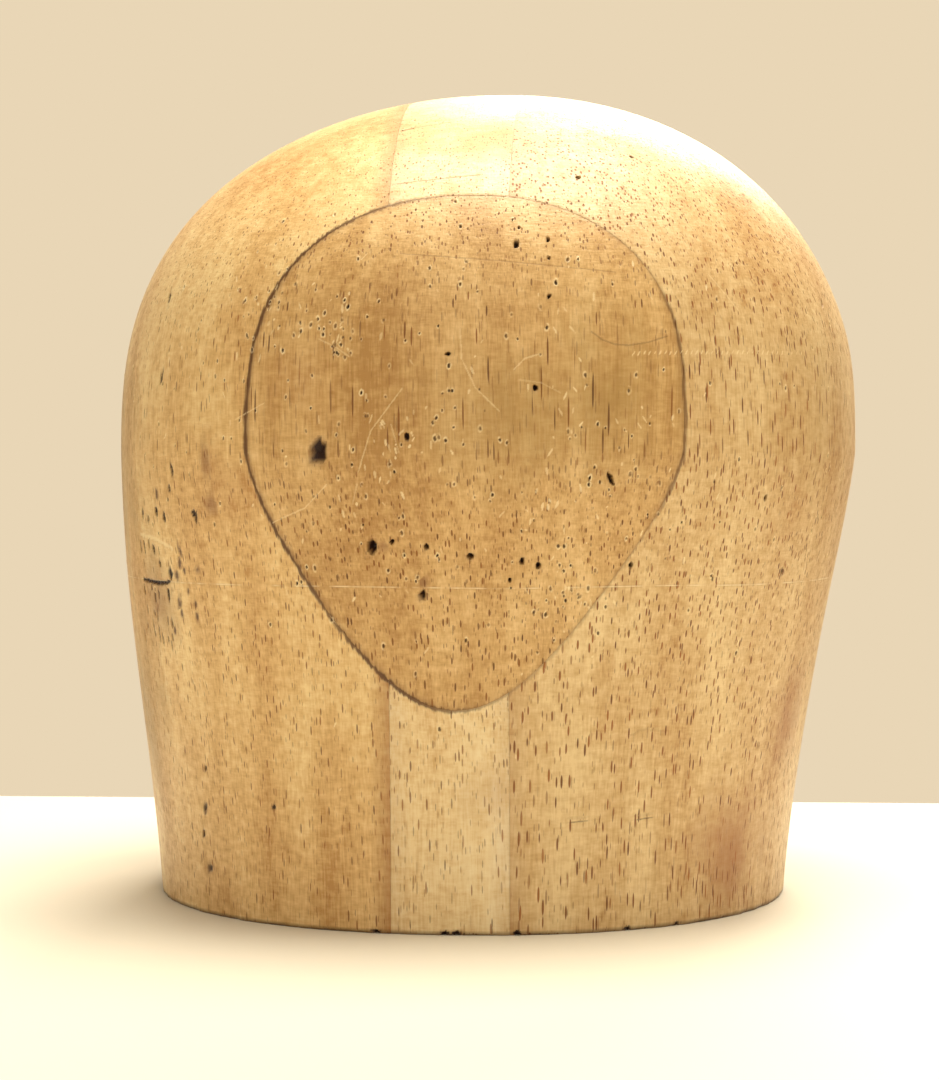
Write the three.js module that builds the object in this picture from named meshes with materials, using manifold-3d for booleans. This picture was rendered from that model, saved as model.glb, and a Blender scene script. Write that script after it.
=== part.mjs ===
// A milliner's crown block: the head-shaped wooden form that a hat crown is stretched and pinned over.
// It is glued up from upright boards, carved to one smooth dome, and bored from below for a spindle.
// All lengths are in millimetres, +Z is up, and the block stands on its flat underside.
// The origin is the middle of the form's box, on that underside. The front, a thin facing board, is at -Y.
import * as THREE from 'three';
import { mergeVertices } from 'three/addons/utils/BufferGeometryUtils.js';
import Module from 'manifold-3d';

// ---- The carved form: how far each side stands out from the upright ridge line it is carved to ----
// foot: at the underside. gain and bend: what it would gain by the widest height, and how late it gains it.
// widest: its most. crown: how full it stays towards the top, where 2 is an ellipse and more is squarer.
const LEFT = { foot: 74, gain: 12.8, bend: 1.2, widest: 83, crown: 2.85 };
const RIGHT = { foot: 74, gain: 17.3, bend: 1.3, widest: 91.5, crown: 2.2 };
const FRONT = { foot: 81.8, gain: 17, bend: 2.2, widest: 97.5, crown: 3.2 };
const REAR = { foot: 83, gain: 17, bend: 1.6, widest: 98, crown: 2.7 };
const HEIGHT = 187;
const WIDEST_HEIGHT = 103; // where the flared lower part has become the dome
const SHOULDER_BLEND = 6; // softens the change from the flare to the dome
const FOOT_SQUARENESS = 2.12; // exponent of the oval at the underside
const BAND_SQUARENESS = 2.2; // exponent of the oval at the widest height
const CROWN_LEAN = 7.7; // the top stands this far to the right of the ridge line
const OVAL_SLANT = 0.023; // sideways shift of the oval for each millimetre towards the front
const ARRIS = 0.8; // the eased edge round the underside

// ---- The boards, measured from the ridge line ----
const LEFT_SEAM = -12; // glue line between the left plank and the centre strip
const STRIP_THICKNESS = 25.4;
const FRONT_BOARD_THICKNESS = 12.5; // what the carving left of the facing board, at its thickest
const REAR_BOARD_THICKNESS = 13;
const GLUE_GAP = 0.3;

// ---- The spindle socket and its plate, let into the underside ----
const SOCKET_Y = 0;
const SOCKET_RADIUS = 11;
const SOCKET_DEPTH = 70;
const PLATE_RADIUS = 32;
const PLATE_THICKNESS = 2.5;
const PLATE_SINK = 0.5; // keeps the plate off the table
const FIT = 0.3; // clearance round everything that is let in

// ---- The countersunk wood screws ----
const SCREW_COUNT = 4;
const SCREW_INSET = 9; // from the plate's rim to the screws' centres
const SCREW_START_ANGLE = Math.PI / 4; // clear of both glue lines
const SCREW_LENGTH = 20;
const SCREW_HEAD_RADIUS = 4;
const SCREW_HEAD_DEPTH = 2.2;
const SCREW_SHANK_RADIUS = 1.8;
const SCREW_TIP_LENGTH = 5;
const SLOT_WIDTH = 1;
const SLOT_DEPTH = 1;
const SLOT_ANGLES = [0.4, 1.3, 2.2, 0.9]; // each screw stopped where it stopped

// ---- Facets ----
const FORM_SIDES = 72;
const FLARE_RINGS = 7;
const DOME_RINGS = 16;
const ROUND_SIDES = 48;
const SCREW_SIDES = 20;

const CUT_PAST = 5; // cutters run this far past what they cut
const BEYOND = LEFT.widest + RIGHT.widest + FRONT.widest + REAR.widest; // outside the form on every side
const RIGHT_SEAM = LEFT_SEAM + STRIP_THICKNESS;
const FRONT_SEAM = FRONT_BOARD_THICKNESS - FRONT.widest;
const REAR_SEAM = REAR.widest - REAR_BOARD_THICKNESS;
const SOCKET_X = (LEFT_SEAM + RIGHT_SEAM) / 2; // the middle of the centre strip
const SCREW_CIRCLE_RADIUS = PLATE_RADIUS - SCREW_INSET;
const PLATE_TOP = PLATE_SINK + PLATE_THICKNESS;

const wasm = await Module();
wasm.setup();

// ---- Solids: three.js geometry in and out of manifold-3d ----

/** Make a manifold solid from a closed three.js geometry. */
function solid(geometry) {
  const bare = geometry.clone();
  bare.deleteAttribute('normal');
  bare.deleteAttribute('uv');
  const merged = mergeVertices(bare);
  const corners = merged.index.array;
  const triangles = [];
  for (let i = 0; i < corners.length; i += 3) {
    const [a, b, c] = corners.slice(i, i + 3);
    if (a !== b && b !== c && c !== a) triangles.push(a, b, c);
  }
  return new wasm.Manifold(new wasm.Mesh({
    numProp: 3,
    vertProperties: new Float32Array(merged.attributes.position.array),
    triVerts: new Uint32Array(triangles),
  }));
}

/** Turn a manifold solid back into a flat-shaded three.js geometry. */
function geometryOf(manifold) {
  const mesh = manifold.getMesh();
  const geometry = new THREE.BufferGeometry();
  geometry.setAttribute('position', new THREE.BufferAttribute(mesh.vertProperties, 3));
  geometry.setIndex(new THREE.BufferAttribute(mesh.triVerts, 1));
  const flat = geometry.toNonIndexed();
  flat.computeVertexNormals();
  return flat;
}

/** A turned solid: the profile is a list of [radius, height] that starts and ends on the axis. */
function turned(profile, sides, x = 0, y = 0) {
  const points = profile.map(([radius, height]) => new THREE.Vector2(radius, height));
  const geometry = new THREE.LatheGeometry(points, sides);
  geometry.rotateX(Math.PI / 2);
  geometry.translate(x, y, 0);
  return solid(geometry);
}

/** A plain round cutter or disc between two heights. */
function disc(radius, low, high, x, y) {
  return turned([[0, low], [radius, low], [radius, high], [0, high]], ROUND_SIDES, x, y);
}

// ---- The form ----

/** How far up the flared lower part a height is: 0 at the underside, 1 at the widest height and above. */
function flareShare(height) {
  return THREE.MathUtils.clamp(height / WIDEST_HEIGHT, 0, 1);
}

/** How far up the dome a height is: 0 at the widest height and below, 1 at the top. */
function domeShare(height) {
  return THREE.MathUtils.clamp((height - WIDEST_HEIGHT) / (HEIGHT - WIDEST_HEIGHT), 0, 1);
}

/** The smaller of two values, with a soft change over between them. */
function smoothMin(a, b, blend) {
  const closeness = Math.max(blend - Math.abs(a - b), 0) / blend;
  return Math.min(a, b) - (blend * closeness ** 3) / 6;
}

/** How far one side of the form stands out from the ridge line at a height. */
function reach(side, height) {
  const flared = side.foot + side.gain * flareShare(height) ** side.bend;
  const domed = side.widest * Math.sqrt(1 - domeShare(height) ** side.crown);
  return smoothMin(flared, domed, SHOULDER_BLEND);
}

/** The point of the form at an angle round the ridge line and a height; share draws it in to the axis. */
function formPoint(angle, height, share) {
  const squareness = THREE.MathUtils.lerp(FOOT_SQUARENESS, BAND_SQUARENESS, flareShare(height));
  const bent = (value) => Math.sign(value) * Math.abs(value) ** (2 / squareness);
  const across = Math.cos(angle);
  const along = Math.sin(angle);
  const x = share * bent(across) * reach(across < 0 ? LEFT : RIGHT, height);
  const y = share * bent(along) * reach(along < 0 ? FRONT : REAR, height);
  return new THREE.Vector3(x + CROWN_LEAN * domeShare(height) ** 2 - OVAL_SLANT * y, y, height);
}

/** The whole carved form, before it is divided into boards. */
function carvedForm() {
  const profile = [[0, 0], [1 - ARRIS / REAR.foot, 0], [1, ARRIS]];
  for (let ring = 1; ring <= FLARE_RINGS; ring += 1) {
    profile.push([1, (WIDEST_HEIGHT * ring) / FLARE_RINGS]);
  }
  for (let ring = 1; ring < DOME_RINGS; ring += 1) {
    const climb = Math.sin((Math.PI / 2) * (ring / DOME_RINGS));
    profile.push([1, WIDEST_HEIGHT + (HEIGHT - WIDEST_HEIGHT) * climb]);
  }
  profile.push([0, HEIGHT]);
  const geometry = new THREE.LatheGeometry(profile.map(([r, z]) => new THREE.Vector2(r, z)), FORM_SIDES);
  geometry.rotateX(Math.PI / 2);
  const position = geometry.attributes.position;
  for (let i = 0; i < position.count; i += 1) {
    const x = position.getX(i);
    const y = position.getY(i);
    const point = formPoint(Math.atan2(y, x), position.getZ(i), Math.hypot(x, y));
    position.setXYZ(i, point.x, point.y, point.z);
  }
  return geometry;
}

// ---- The screws ----

/** Where the screws stand round the socket. */
function screwPlaces() {
  return Array.from({ length: SCREW_COUNT }, (_, i) => {
    const angle = SCREW_START_ANGLE + (i * 2 * Math.PI) / SCREW_COUNT;
    const x = SOCKET_X + SCREW_CIRCLE_RADIUS * Math.cos(angle);
    const y = SOCKET_Y + SCREW_CIRCLE_RADIUS * Math.sin(angle);
    return { x, y, slotAngle: SLOT_ANGLES[i % SLOT_ANGLES.length] };
  });
}

/** One countersunk screw, head down and flush with the plate, with a slot across its head. */
function screw({ x, y, slotAngle }) {
  const profile = [
    [0, PLATE_SINK],
    [SCREW_HEAD_RADIUS, PLATE_SINK],
    [SCREW_SHANK_RADIUS, PLATE_SINK + SCREW_HEAD_DEPTH],
    [SCREW_SHANK_RADIUS, PLATE_SINK + SCREW_LENGTH - SCREW_TIP_LENGTH],
    [0, PLATE_SINK + SCREW_LENGTH],
  ];
  const slot = new THREE.BoxGeometry(2 * SCREW_HEAD_RADIUS + CUT_PAST, SLOT_WIDTH, 2 * SLOT_DEPTH);
  slot.rotateZ(slotAngle);
  slot.translate(x, y, PLATE_SINK);
  return turned(profile, SCREW_SIDES, x, y).subtract(solid(slot));
}

/** The room a screw needs: its own profile, wider by the clearance, and open below. */
function screwHole({ x, y }) {
  const profile = [
    [0, PLATE_SINK - CUT_PAST],
    [SCREW_HEAD_RADIUS + FIT + CUT_PAST, PLATE_SINK - CUT_PAST],
    [SCREW_HEAD_RADIUS + FIT, PLATE_SINK],
    [SCREW_SHANK_RADIUS + FIT, PLATE_SINK + SCREW_HEAD_DEPTH],
    [SCREW_SHANK_RADIUS + FIT, PLATE_SINK + SCREW_LENGTH + FIT],
    [0, PLATE_SINK + SCREW_LENGTH + FIT],
  ];
  return turned(profile, SCREW_SIDES, x, y);
}

// ---- The boards ----

/** The wood that is cut away below: the plate's recess, the socket's bore and the screws' pilot holes. */
function undersideCutter() {
  const recess = disc(PLATE_RADIUS + FIT, -CUT_PAST, PLATE_TOP + FIT, SOCKET_X, SOCKET_Y);
  const bore = disc(SOCKET_RADIUS + FIT, -CUT_PAST, SOCKET_DEPTH, SOCKET_X, SOCKET_Y);
  return screwPlaces().reduce((cutter, place) => cutter.add(screwHole(place)), recess.add(bore));
}

/** The space one board fills: an upright slab that is clear of its neighbours by half a glue line. */
function slab({ left = -BEYOND, right = BEYOND, front = -BEYOND, rear = BEYOND }) {
  const [x0, x1] = [left + GLUE_GAP / 2, right - GLUE_GAP / 2];
  const [y0, y1] = [front + GLUE_GAP / 2, rear - GLUE_GAP / 2];
  const box = new THREE.BoxGeometry(x1 - x0, y1 - y0, HEIGHT + 2 * CUT_PAST);
  box.translate((x0 + x1) / 2, (y0 + y1) / 2, HEIGHT / 2);
  return solid(box);
}

const betweenFacings = { front: FRONT_SEAM, rear: REAR_SEAM };
const boards = {
  left_plank: { room: { right: LEFT_SEAM, ...betweenFacings }, colour: '#cfa562' },
  centre_strip: { room: { left: LEFT_SEAM, right: RIGHT_SEAM, ...betweenFacings }, colour: '#e2bb78' },
  right_plank: { room: { left: RIGHT_SEAM, ...betweenFacings }, colour: '#deb776' },
  front_board: { room: { rear: FRONT_SEAM }, colour: '#c39a5e' },
  rear_board: { room: { front: REAR_SEAM }, colour: '#cda468' },
};

// ---- The assembly ----

const formGeometry = carvedForm();
formGeometry.computeBoundingBox();
const middle = formGeometry.boundingBox.getCenter(new THREE.Vector3());

const block = new THREE.Group();
block.position.set(-middle.x, -middle.y, 0);

/** Add one named piece to the block. */
function addPiece(name, manifold, colour, roughness, metalness) {
  const material = new THREE.MeshStandardMaterial({ color: colour, roughness, metalness });
  const mesh = new THREE.Mesh(geometryOf(manifold), material);
  mesh.name = name;
  block.add(mesh);
}

const bored = solid(formGeometry).subtract(undersideCutter());
for (const [name, { room, colour }] of Object.entries(boards)) {
  addPiece(name, bored.intersect(slab(room)), colour, 0.45, 0);
}

const plateDisc = disc(PLATE_RADIUS, PLATE_SINK, PLATE_TOP, SOCKET_X, SOCKET_Y);
const plateBore = disc(SOCKET_RADIUS, PLATE_SINK - CUT_PAST, PLATE_TOP + CUT_PAST, SOCKET_X, SOCKET_Y);
const plateRing = plateDisc.subtract(plateBore);
const plate = screwPlaces().reduce((cut, place) => cut.subtract(screwHole(place)), plateRing);
addPiece('socket_plate', plate, '#57524b', 0.55, 0.85);

screwPlaces().forEach((place, i) => {
  addPiece(`plate_screw_${i + 1}`, screw(place), '#8c877c', 0.4, 0.9);
});

export default block;
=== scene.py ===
"""A milliner's crown block in worn, open-pored hardwood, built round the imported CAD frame.

The block is a head-shaped form glued up from upright boards. The form is made once from the same rule as the
CAD part, cut into its boards, and then marked by use: pin pricks, tack holes, scratches, stains and chips.
Everything is in metres, in the CAD frame: +Z up, the front facing board at -Y.
"""
import logging
import math
from collections.abc import Iterable
from dataclasses import dataclass, field
from enum import Enum

import bmesh
import bpy
import numpy as np
from mathutils import Matrix, Vector
from mathutils.bvhtree import BVHTree


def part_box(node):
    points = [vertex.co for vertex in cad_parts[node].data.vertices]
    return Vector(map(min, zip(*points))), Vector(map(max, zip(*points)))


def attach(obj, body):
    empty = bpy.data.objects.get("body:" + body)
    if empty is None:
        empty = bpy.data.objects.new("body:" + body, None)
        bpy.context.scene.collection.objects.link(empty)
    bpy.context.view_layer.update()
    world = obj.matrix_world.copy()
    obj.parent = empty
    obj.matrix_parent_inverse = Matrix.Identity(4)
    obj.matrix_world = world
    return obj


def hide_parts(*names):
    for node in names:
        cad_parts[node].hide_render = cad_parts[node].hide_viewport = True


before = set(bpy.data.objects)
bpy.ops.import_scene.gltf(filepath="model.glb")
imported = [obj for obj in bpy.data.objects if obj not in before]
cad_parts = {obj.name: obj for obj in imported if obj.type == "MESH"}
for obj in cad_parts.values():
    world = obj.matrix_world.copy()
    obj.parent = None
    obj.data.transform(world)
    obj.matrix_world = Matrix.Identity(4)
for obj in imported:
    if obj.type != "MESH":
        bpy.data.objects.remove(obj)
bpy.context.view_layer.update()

Tree, Socket, Sockets = bpy.types.NodeTree, bpy.types.NodeSocket, bpy.types.bpy_prop_collection
Object, Mesh, Material = bpy.types.Object, bpy.types.Mesh, bpy.types.Material
LOG = logging.getLogger("crown_block")
MM = 0.001
BODY = "root"
SEED = 7
MERGE = 0.002 * MM
SLOT_ANGLES = (0.4, 1.3, 2.2, 0.9)  # how each screw's slot came to rest
SCREWS = len(SLOT_ANGLES)


# ----------------------------------------------------------------------------------- small helpers

def linear(colour: str) -> tuple[float, float, float, float]:
    """Turn an sRGB hex colour into linear light.

    Args:
        colour: six hex digits after a hash.

    Returns:
        Red, green, blue and an alpha of 1.
    """
    parts = [int(colour[i:i + 2], 16) / 255 for i in (1, 3, 5)]
    bright = [c / 12.92 if c <= 0.04045 else ((c + 0.055) / 1.055) ** 2.4 for c in parts]
    return (*bright, 1.0)


def add(tree: Tree, kind: str, links: dict | Iterable = (), out: int | str = 0,
        **settings: object) -> Socket:
    """Add a node with its settings and links.

    Args:
        tree: the tree that the node joins.
        kind: the node's type name.
        links: a value or a socket for inputs, in order, or in a dict by name or place.
        out: which output to give back.
        settings: the node's own properties.

    Returns:
        The chosen output socket, or a last node's first input; its node attribute leads to the others.
    """
    made = tree.nodes.new(kind)
    for name, value in settings.items():
        setattr(made, name, value)
    for place, value in links.items() if isinstance(links, dict) else enumerate(links):
        if isinstance(value, Socket):
            tree.links.new(value, made.inputs[place])
        elif value is not None:
            made.inputs[place].default_value = value
    return made.outputs[out] if made.outputs else made.inputs[0]


MATH = "ShaderNodeMath"
VECTOR_MATH = "ShaderNodeVectorMath"
RANGE = "ShaderNodeMapRange"
MIX = "ShaderNodeMix"
NOISE = "ShaderNodeTexNoise"
MIX_A, MIX_B, MIX_OUT = 6, 7, 2  # the colour sockets of a Mix node


def new_tree(name: str, inputs: dict[str, str]) -> tuple[Tree, bpy.types.Node]:
    """Start a Geometry Nodes tree.

    Args:
        name: the tree's name.
        inputs: each input's name and socket type, after the geometry.

    Returns:
        The tree and its group input node.
    """
    tree = bpy.data.node_groups.new(name, "GeometryNodeTree")
    tree.interface.new_socket("Geometry", in_out="INPUT", socket_type="NodeSocketGeometry")
    for label, kind in inputs.items():
        tree.interface.new_socket(label, in_out="INPUT", socket_type=kind)
    tree.interface.new_socket("Geometry", in_out="OUTPUT", socket_type="NodeSocketGeometry")
    return tree, tree.nodes.new("NodeGroupInput")


def end_tree(tree: Tree, geometry: Socket, material: Socket) -> None:
    """Close a tree with Realize Instances, Set Material and its output.

    Args:
        tree: the tree.
        geometry: what the tree has made.
        material: the finish that goes on it.
    """
    real = add(tree, "GeometryNodeRealizeInstances", [geometry])
    dressed = add(tree, "GeometryNodeSetMaterial", {"Geometry": real, "Material": material})
    add(tree, "NodeGroupOutput", [dressed])


def grow(tree: Tree, name: str, base: Mesh | None, inputs: dict) -> Mesh:
    """Run a Geometry Nodes tree once and keep its result as a plain mesh.

    Args:
        tree: the tree to run.
        name: the new mesh's name.
        base: the mesh that goes in, or None for a tree that makes its own.
        inputs: a value for each named input.

    Returns:
        The new mesh.
    """
    carrier = bpy.data.objects.new(f"{name}_carrier", base or bpy.data.meshes.new(f"{name}_seed"))
    bpy.context.scene.collection.objects.link(carrier)
    modifier = carrier.modifiers.new(name, "NODES")
    modifier.node_group = tree
    for item in tree.interface.items_tree:
        if item.item_type == "SOCKET" and item.in_out == "INPUT" and item.name in inputs:
            modifier[item.identifier] = inputs[item.name]
    depsgraph = bpy.context.evaluated_depsgraph_get()
    mesh = bpy.data.meshes.new_from_object(
        carrier.evaluated_get(depsgraph), preserve_all_data_layers=True, depsgraph=depsgraph
    )
    mesh.name = name
    carrier.modifiers.clear()
    bpy.data.objects.remove(carrier)
    return mesh


def piece(name: str, mesh: Mesh) -> Object:
    """Put a finished mesh in the scene as an object at the origin."""
    made = bpy.data.objects.new(name, mesh)
    bpy.context.scene.collection.objects.link(made)
    return made


def layered(tree: Tree, colour: Socket, layers: Iterable) -> Socket:
    """Lay hues over a colour, one after another.

    Args:
        tree: the material's tree.
        colour: the colour beneath, as a socket or linear values.
        layers: a hue, as hex digits or a socket, and how strongly it shows, for each layer.

    Returns:
        The colour with its layers.
    """
    for hue, share in layers:
        over = linear(hue) if isinstance(hue, str) else hue
        colour = add(tree, MIX, {0: share, MIX_A: colour, MIX_B: over}, out=MIX_OUT, data_type="RGBA")
    return colour


# --------------------------------------------------------------------------------- the carved form

@dataclass(frozen=True)
class Side:
    """How far one side of the form stands out from the ridge line, as in the CAD part."""

    foot: float
    gain: float
    bend: float
    widest: float
    crown: float


@dataclass
class CarvedForm:
    """The whole form, before it is cut into boards: an oval that flares up to its widest and domes over."""

    left: Side = Side(74 * MM, 12.8 * MM, 1.2, 83 * MM, 2.85)
    right: Side = Side(74 * MM, 17.3 * MM, 1.3, 91.5 * MM, 2.2)
    front: Side = Side(81.8 * MM, 17 * MM, 2.2, 97.5 * MM, 3.2)
    rear: Side = Side(83 * MM, 17 * MM, 1.6, 98 * MM, 2.7)
    height: float = 187 * MM
    widest_height: float = 103 * MM
    shoulder_blend: float = 6 * MM
    foot_squareness: float = 2.12
    band_squareness: float = 2.2
    crown_lean: float = 7.7 * MM
    oval_slant: float = 0.023
    left_seam: float = -12 * MM
    right_seam: float = 13.4 * MM
    front_board: float = 12.5 * MM
    rear_board: float = 13 * MM
    columns: int = 480
    rings: int = 190
    flare_share: float = 0.43  # the part of the rings that the flared lower part takes
    waver: float = 0.08 * MM  # how far the hand-worked surface strays from the rule
    mesh: Mesh | None = field(default=None, init=False)

    def __post_init__(self) -> None:
        """Find the ridge line and the glue lines in the CAD frame."""
        glue_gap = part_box("centre_strip")[0][0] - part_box("left_plank")[1][0]
        self.ridge_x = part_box("centre_strip")[0][0] - glue_gap / 2 - self.left_seam
        self.ridge_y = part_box("left_plank")[0][1] - glue_gap / 2 + self.front.widest - self.front_board
        self.seam_x = (self.ridge_x + self.left_seam, self.ridge_x + self.right_seam)
        self.seam_y = (
            self.ridge_y + self.front_board - self.front.widest,
            self.ridge_y + self.rear.widest - self.rear_board,
        )

    def tree(self) -> Tree:
        """Write the rule as a Geometry Nodes tree: a grid of columns and rings wrapped round the ridge line.

        Returns:
            The tree.
        """
        sizes = ["Height", "Widest Height", "Shoulder Blend", "Foot Squareness", "Band Squareness",
                 "Crown Lean", "Oval Slant", "Ridge X", "Ridge Y", "Flare Share", "Waver"]
        parts = ["Foot", "Gain", "Bend", "Widest", "Crown"]
        names = {size: "NodeSocketFloat" for size in sizes}
        names |= {f"{side} {part}": "NodeSocketFloat" for side in SIDES for part in parts}
        names |= {"Columns": "NodeSocketInt", "Rings": "NodeSocketInt", "Material": "NodeSocketMaterial"}
        tree, given = new_tree("carved_form", names)
        size = given.outputs
        grid = add(tree, "GeometryNodeMeshGrid", [1.0, 1.0, size["Columns"], size["Rings"]])
        spot = add(tree, "ShaderNodeSeparateXYZ", [add(tree, "GeometryNodeInputPosition")]).node.outputs
        turn = add(tree, MATH, [spot["X"], math.tau], operation="MULTIPLY")
        climb = add(tree, MATH, [spot["Y"], 0.5], operation="ADD")
        share = size["Flare Share"]
        flare = add(tree, RANGE, {"Value": climb, "From Max": share})
        arc = add(tree, RANGE, {"Value": climb, "From Min": share, "To Max": math.pi / 2})
        rise = add(tree, MATH, [arc], operation="SINE")
        dome_height = add(tree, MATH, [size["Height"], size["Widest Height"]], operation="SUBTRACT")
        low = add(tree, MATH, [flare, size["Widest Height"]], operation="MULTIPLY")
        height = add(tree, MATH, [rise, dome_height, low], operation="MULTIPLY_ADD")

        squareness = add(tree, RANGE, {"Value": flare, "To Min": size["Foot Squareness"],
                                       "To Max": size["Band Squareness"]})
        power = add(tree, MATH, [2.0, squareness], operation="DIVIDE")
        reaches = {side: self._reach(tree, size, side, flare, rise) for side in SIDES}
        ends = []
        for trig, low_side, high_side in (("COSINE", "Left", "Right"), ("SINE", "Front", "Rear")):
            wave = add(tree, MATH, [turn], operation=trig)
            way = add(tree, MATH, [wave], operation="SIGN")
            bent = add(tree, MATH, [add(tree, MATH, [wave], operation="ABSOLUTE"), power], operation="POWER")
            below = add(tree, "FunctionNodeCompare", [wave, 0.0], operation="LESS_THAN")
            reach = add(tree, "GeometryNodeSwitch", [below, reaches[high_side], reaches[low_side]],
                        input_type="FLOAT")
            out = add(tree, MATH, [bent, reach], operation="MULTIPLY")
            ends.append(add(tree, MATH, [out, way], operation="MULTIPLY"))
        across, along = ends
        high_up = add(tree, MATH, [rise, 2.0], operation="POWER")
        leaning = add(tree, MATH, [high_up, size["Crown Lean"], across], operation="MULTIPLY_ADD")
        slanting = add(tree, MATH, [along, size["Oval Slant"]], operation="MULTIPLY")
        straight = add(tree, MATH, [leaning, slanting], operation="SUBTRACT")
        x = add(tree, MATH, [straight, size["Ridge X"]], operation="ADD")
        y = add(tree, MATH, [along, size["Ridge Y"]], operation="ADD")
        place = add(tree, "ShaderNodeCombineXYZ", [x, y, height])
        wrapped = add(tree, "GeometryNodeSetPosition", {"Geometry": grid, "Position": place})
        closed = add(tree, "GeometryNodeMergeByDistance", {"Geometry": wrapped, "Distance": MERGE})
        here = add(tree, "GeometryNodeInputPosition")
        hand = add(tree, NOISE, {"Vector": here, "Scale": 24.0, "Detail": 1.0})
        stray = add(tree, RANGE, {"Value": hand, "From Min": 0.25, "From Max": 0.75, "To Min": -1.0})
        amount = add(tree, MATH, [stray, size["Waver"]], operation="MULTIPLY")
        push = add(tree, VECTOR_MATH, {0: add(tree, "GeometryNodeInputNormal"), "Scale": amount},
                   operation="SCALE")
        level = add(tree, VECTOR_MATH, [push, (1.0, 1.0, 0.0)], operation="MULTIPLY")
        worked = add(tree, "GeometryNodeSetPosition", {"Geometry": closed, "Offset": level})
        end_tree(tree, worked, size["Material"])
        return tree

    def _reach(self, tree: Tree, size: Sockets, side: str,
               flare: Socket, rise: Socket) -> Socket:
        """Find how far one side stands out: the smaller of its flare and its dome, softly changed over.

        Args:
            tree: the form's tree.
            size: the tree's inputs.
            side: the side's name.
            flare: how far up the flared part a point is, from 0 to 1.
            rise: how far up the dome it is, from 0 to 1.

        Returns:
            The reach from the ridge line.
        """
        bent = add(tree, MATH, [flare, size[f"{side} Bend"]], operation="POWER")
        flared = add(tree, MATH, [bent, size[f"{side} Gain"], size[f"{side} Foot"]], operation="MULTIPLY_ADD")
        full = add(tree, MATH, [rise, size[f"{side} Crown"]], operation="POWER")
        left_over = add(tree, MATH, [1.0, full], operation="SUBTRACT", use_clamp=True)
        root = add(tree, MATH, [left_over], operation="SQRT")
        domed = add(tree, MATH, [root, size[f"{side} Widest"]], operation="MULTIPLY")
        return add(tree, MATH, [flared, domed, size["Shoulder Blend"]], operation="SMOOTH_MIN")

    def build(self) -> Mesh:
        """Make the form as one closed mesh of quads.

        Returns:
            The mesh, which the boards are cut from.
        """
        inputs = {
            "Height": self.height, "Widest Height": self.widest_height, "Shoulder Blend": self.shoulder_blend,
            "Foot Squareness": self.foot_squareness, "Band Squareness": self.band_squareness,
            "Crown Lean": self.crown_lean, "Oval Slant": self.oval_slant, "Ridge X": self.ridge_x,
            "Ridge Y": self.ridge_y, "Flare Share": self.flare_share, "Waver": self.waver,
            "Columns": self.columns, "Rings": self.rings,
        }
        for side in SIDES:
            sizes = getattr(self, side.lower())
            for part in ("foot", "gain", "bend", "widest", "crown"):
                inputs[f"{side} {part.title()}"] = getattr(sizes, part)
        self.mesh = grow(self.tree(), "carved_form", None, inputs)
        shape = bmesh.new()
        shape.from_mesh(self.mesh)
        bmesh.ops.holes_fill(shape, edges=[edge for edge in shape.edges if edge.is_boundary], sides=0)
        bmesh.ops.recalc_face_normals(shape, faces=shape.faces)
        shape.to_mesh(self.mesh)
        shape.free()
        return self.mesh


SIDES = ("Left", "Right", "Front", "Rear")


# ------------------------------------------------------------------------------------ marks of use

@dataclass(frozen=True)
class Bite:
    """What one kind of mark does to the wood; a negative dark shows fresh, pale wood instead."""

    depth: float
    rim: float = 0.0
    ragged: float = 0.2
    dark: float = 1.0
    pale: float = 0.0
    brown: float = 0.0


class Kind(Enum):
    """The kinds of marks on the block."""

    PRICK = Bite(0.40 * MM, 0.12 * MM, 0.7, 1.0, 1.0)
    TACK_HOLE = Bite(1.5 * MM, 0.06 * MM, 0.5, 1.0, 0.1, 0.5)
    TORN_HOLE = Bite(2.2 * MM, 0.06 * MM, 1.1, 1.0, 0.1, 0.6)
    CHIP = Bite(0.7 * MM, 0.0, 0.9, 1.0, 0.0, 0.4)
    KNOT = Bite(0.5 * MM, 0.0, 0.8, 0.9, 0.0, 0.9)
    SOFT_SPOT = Bite(0.08 * MM, 0.0, 1.0, 0.0, 0.0, 0.8)
    CRACK = Bite(0.5 * MM, 0.0, 0.8, 1.0, 0.0, 0.4)
    HAIRLINE = Bite(0.12 * MM, 0.0, 0.6, 0.45, 0.0, 0.3)
    SCRATCH = Bite(0.04 * MM, 0.0, 1.2, -0.55)
    TICK = Bite(0.05 * MM, 0.0, 0.9, -0.6)
    FLECK = Bite(0.05 * MM, 0.0, 1.0, -0.8)
    DENT = Bite(0.14 * MM, 0.0, 0.2, 0.08)
    SPECK = Bite(0.10 * MM, 0.0, 1.2, 0.6, 0.0, 1.0)
    PENCIL = Bite(0.0, 0.0, 0.5, 0.3)


@dataclass
class Mark:
    """One mark: where a line of sight meets the form, how big it is and how it is turned."""

    kind: Kind
    place: Vector
    normal: Vector
    width: float
    height: float
    tilt: float = 0.0
    force: float = 1.0  # how strongly it shows


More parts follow.
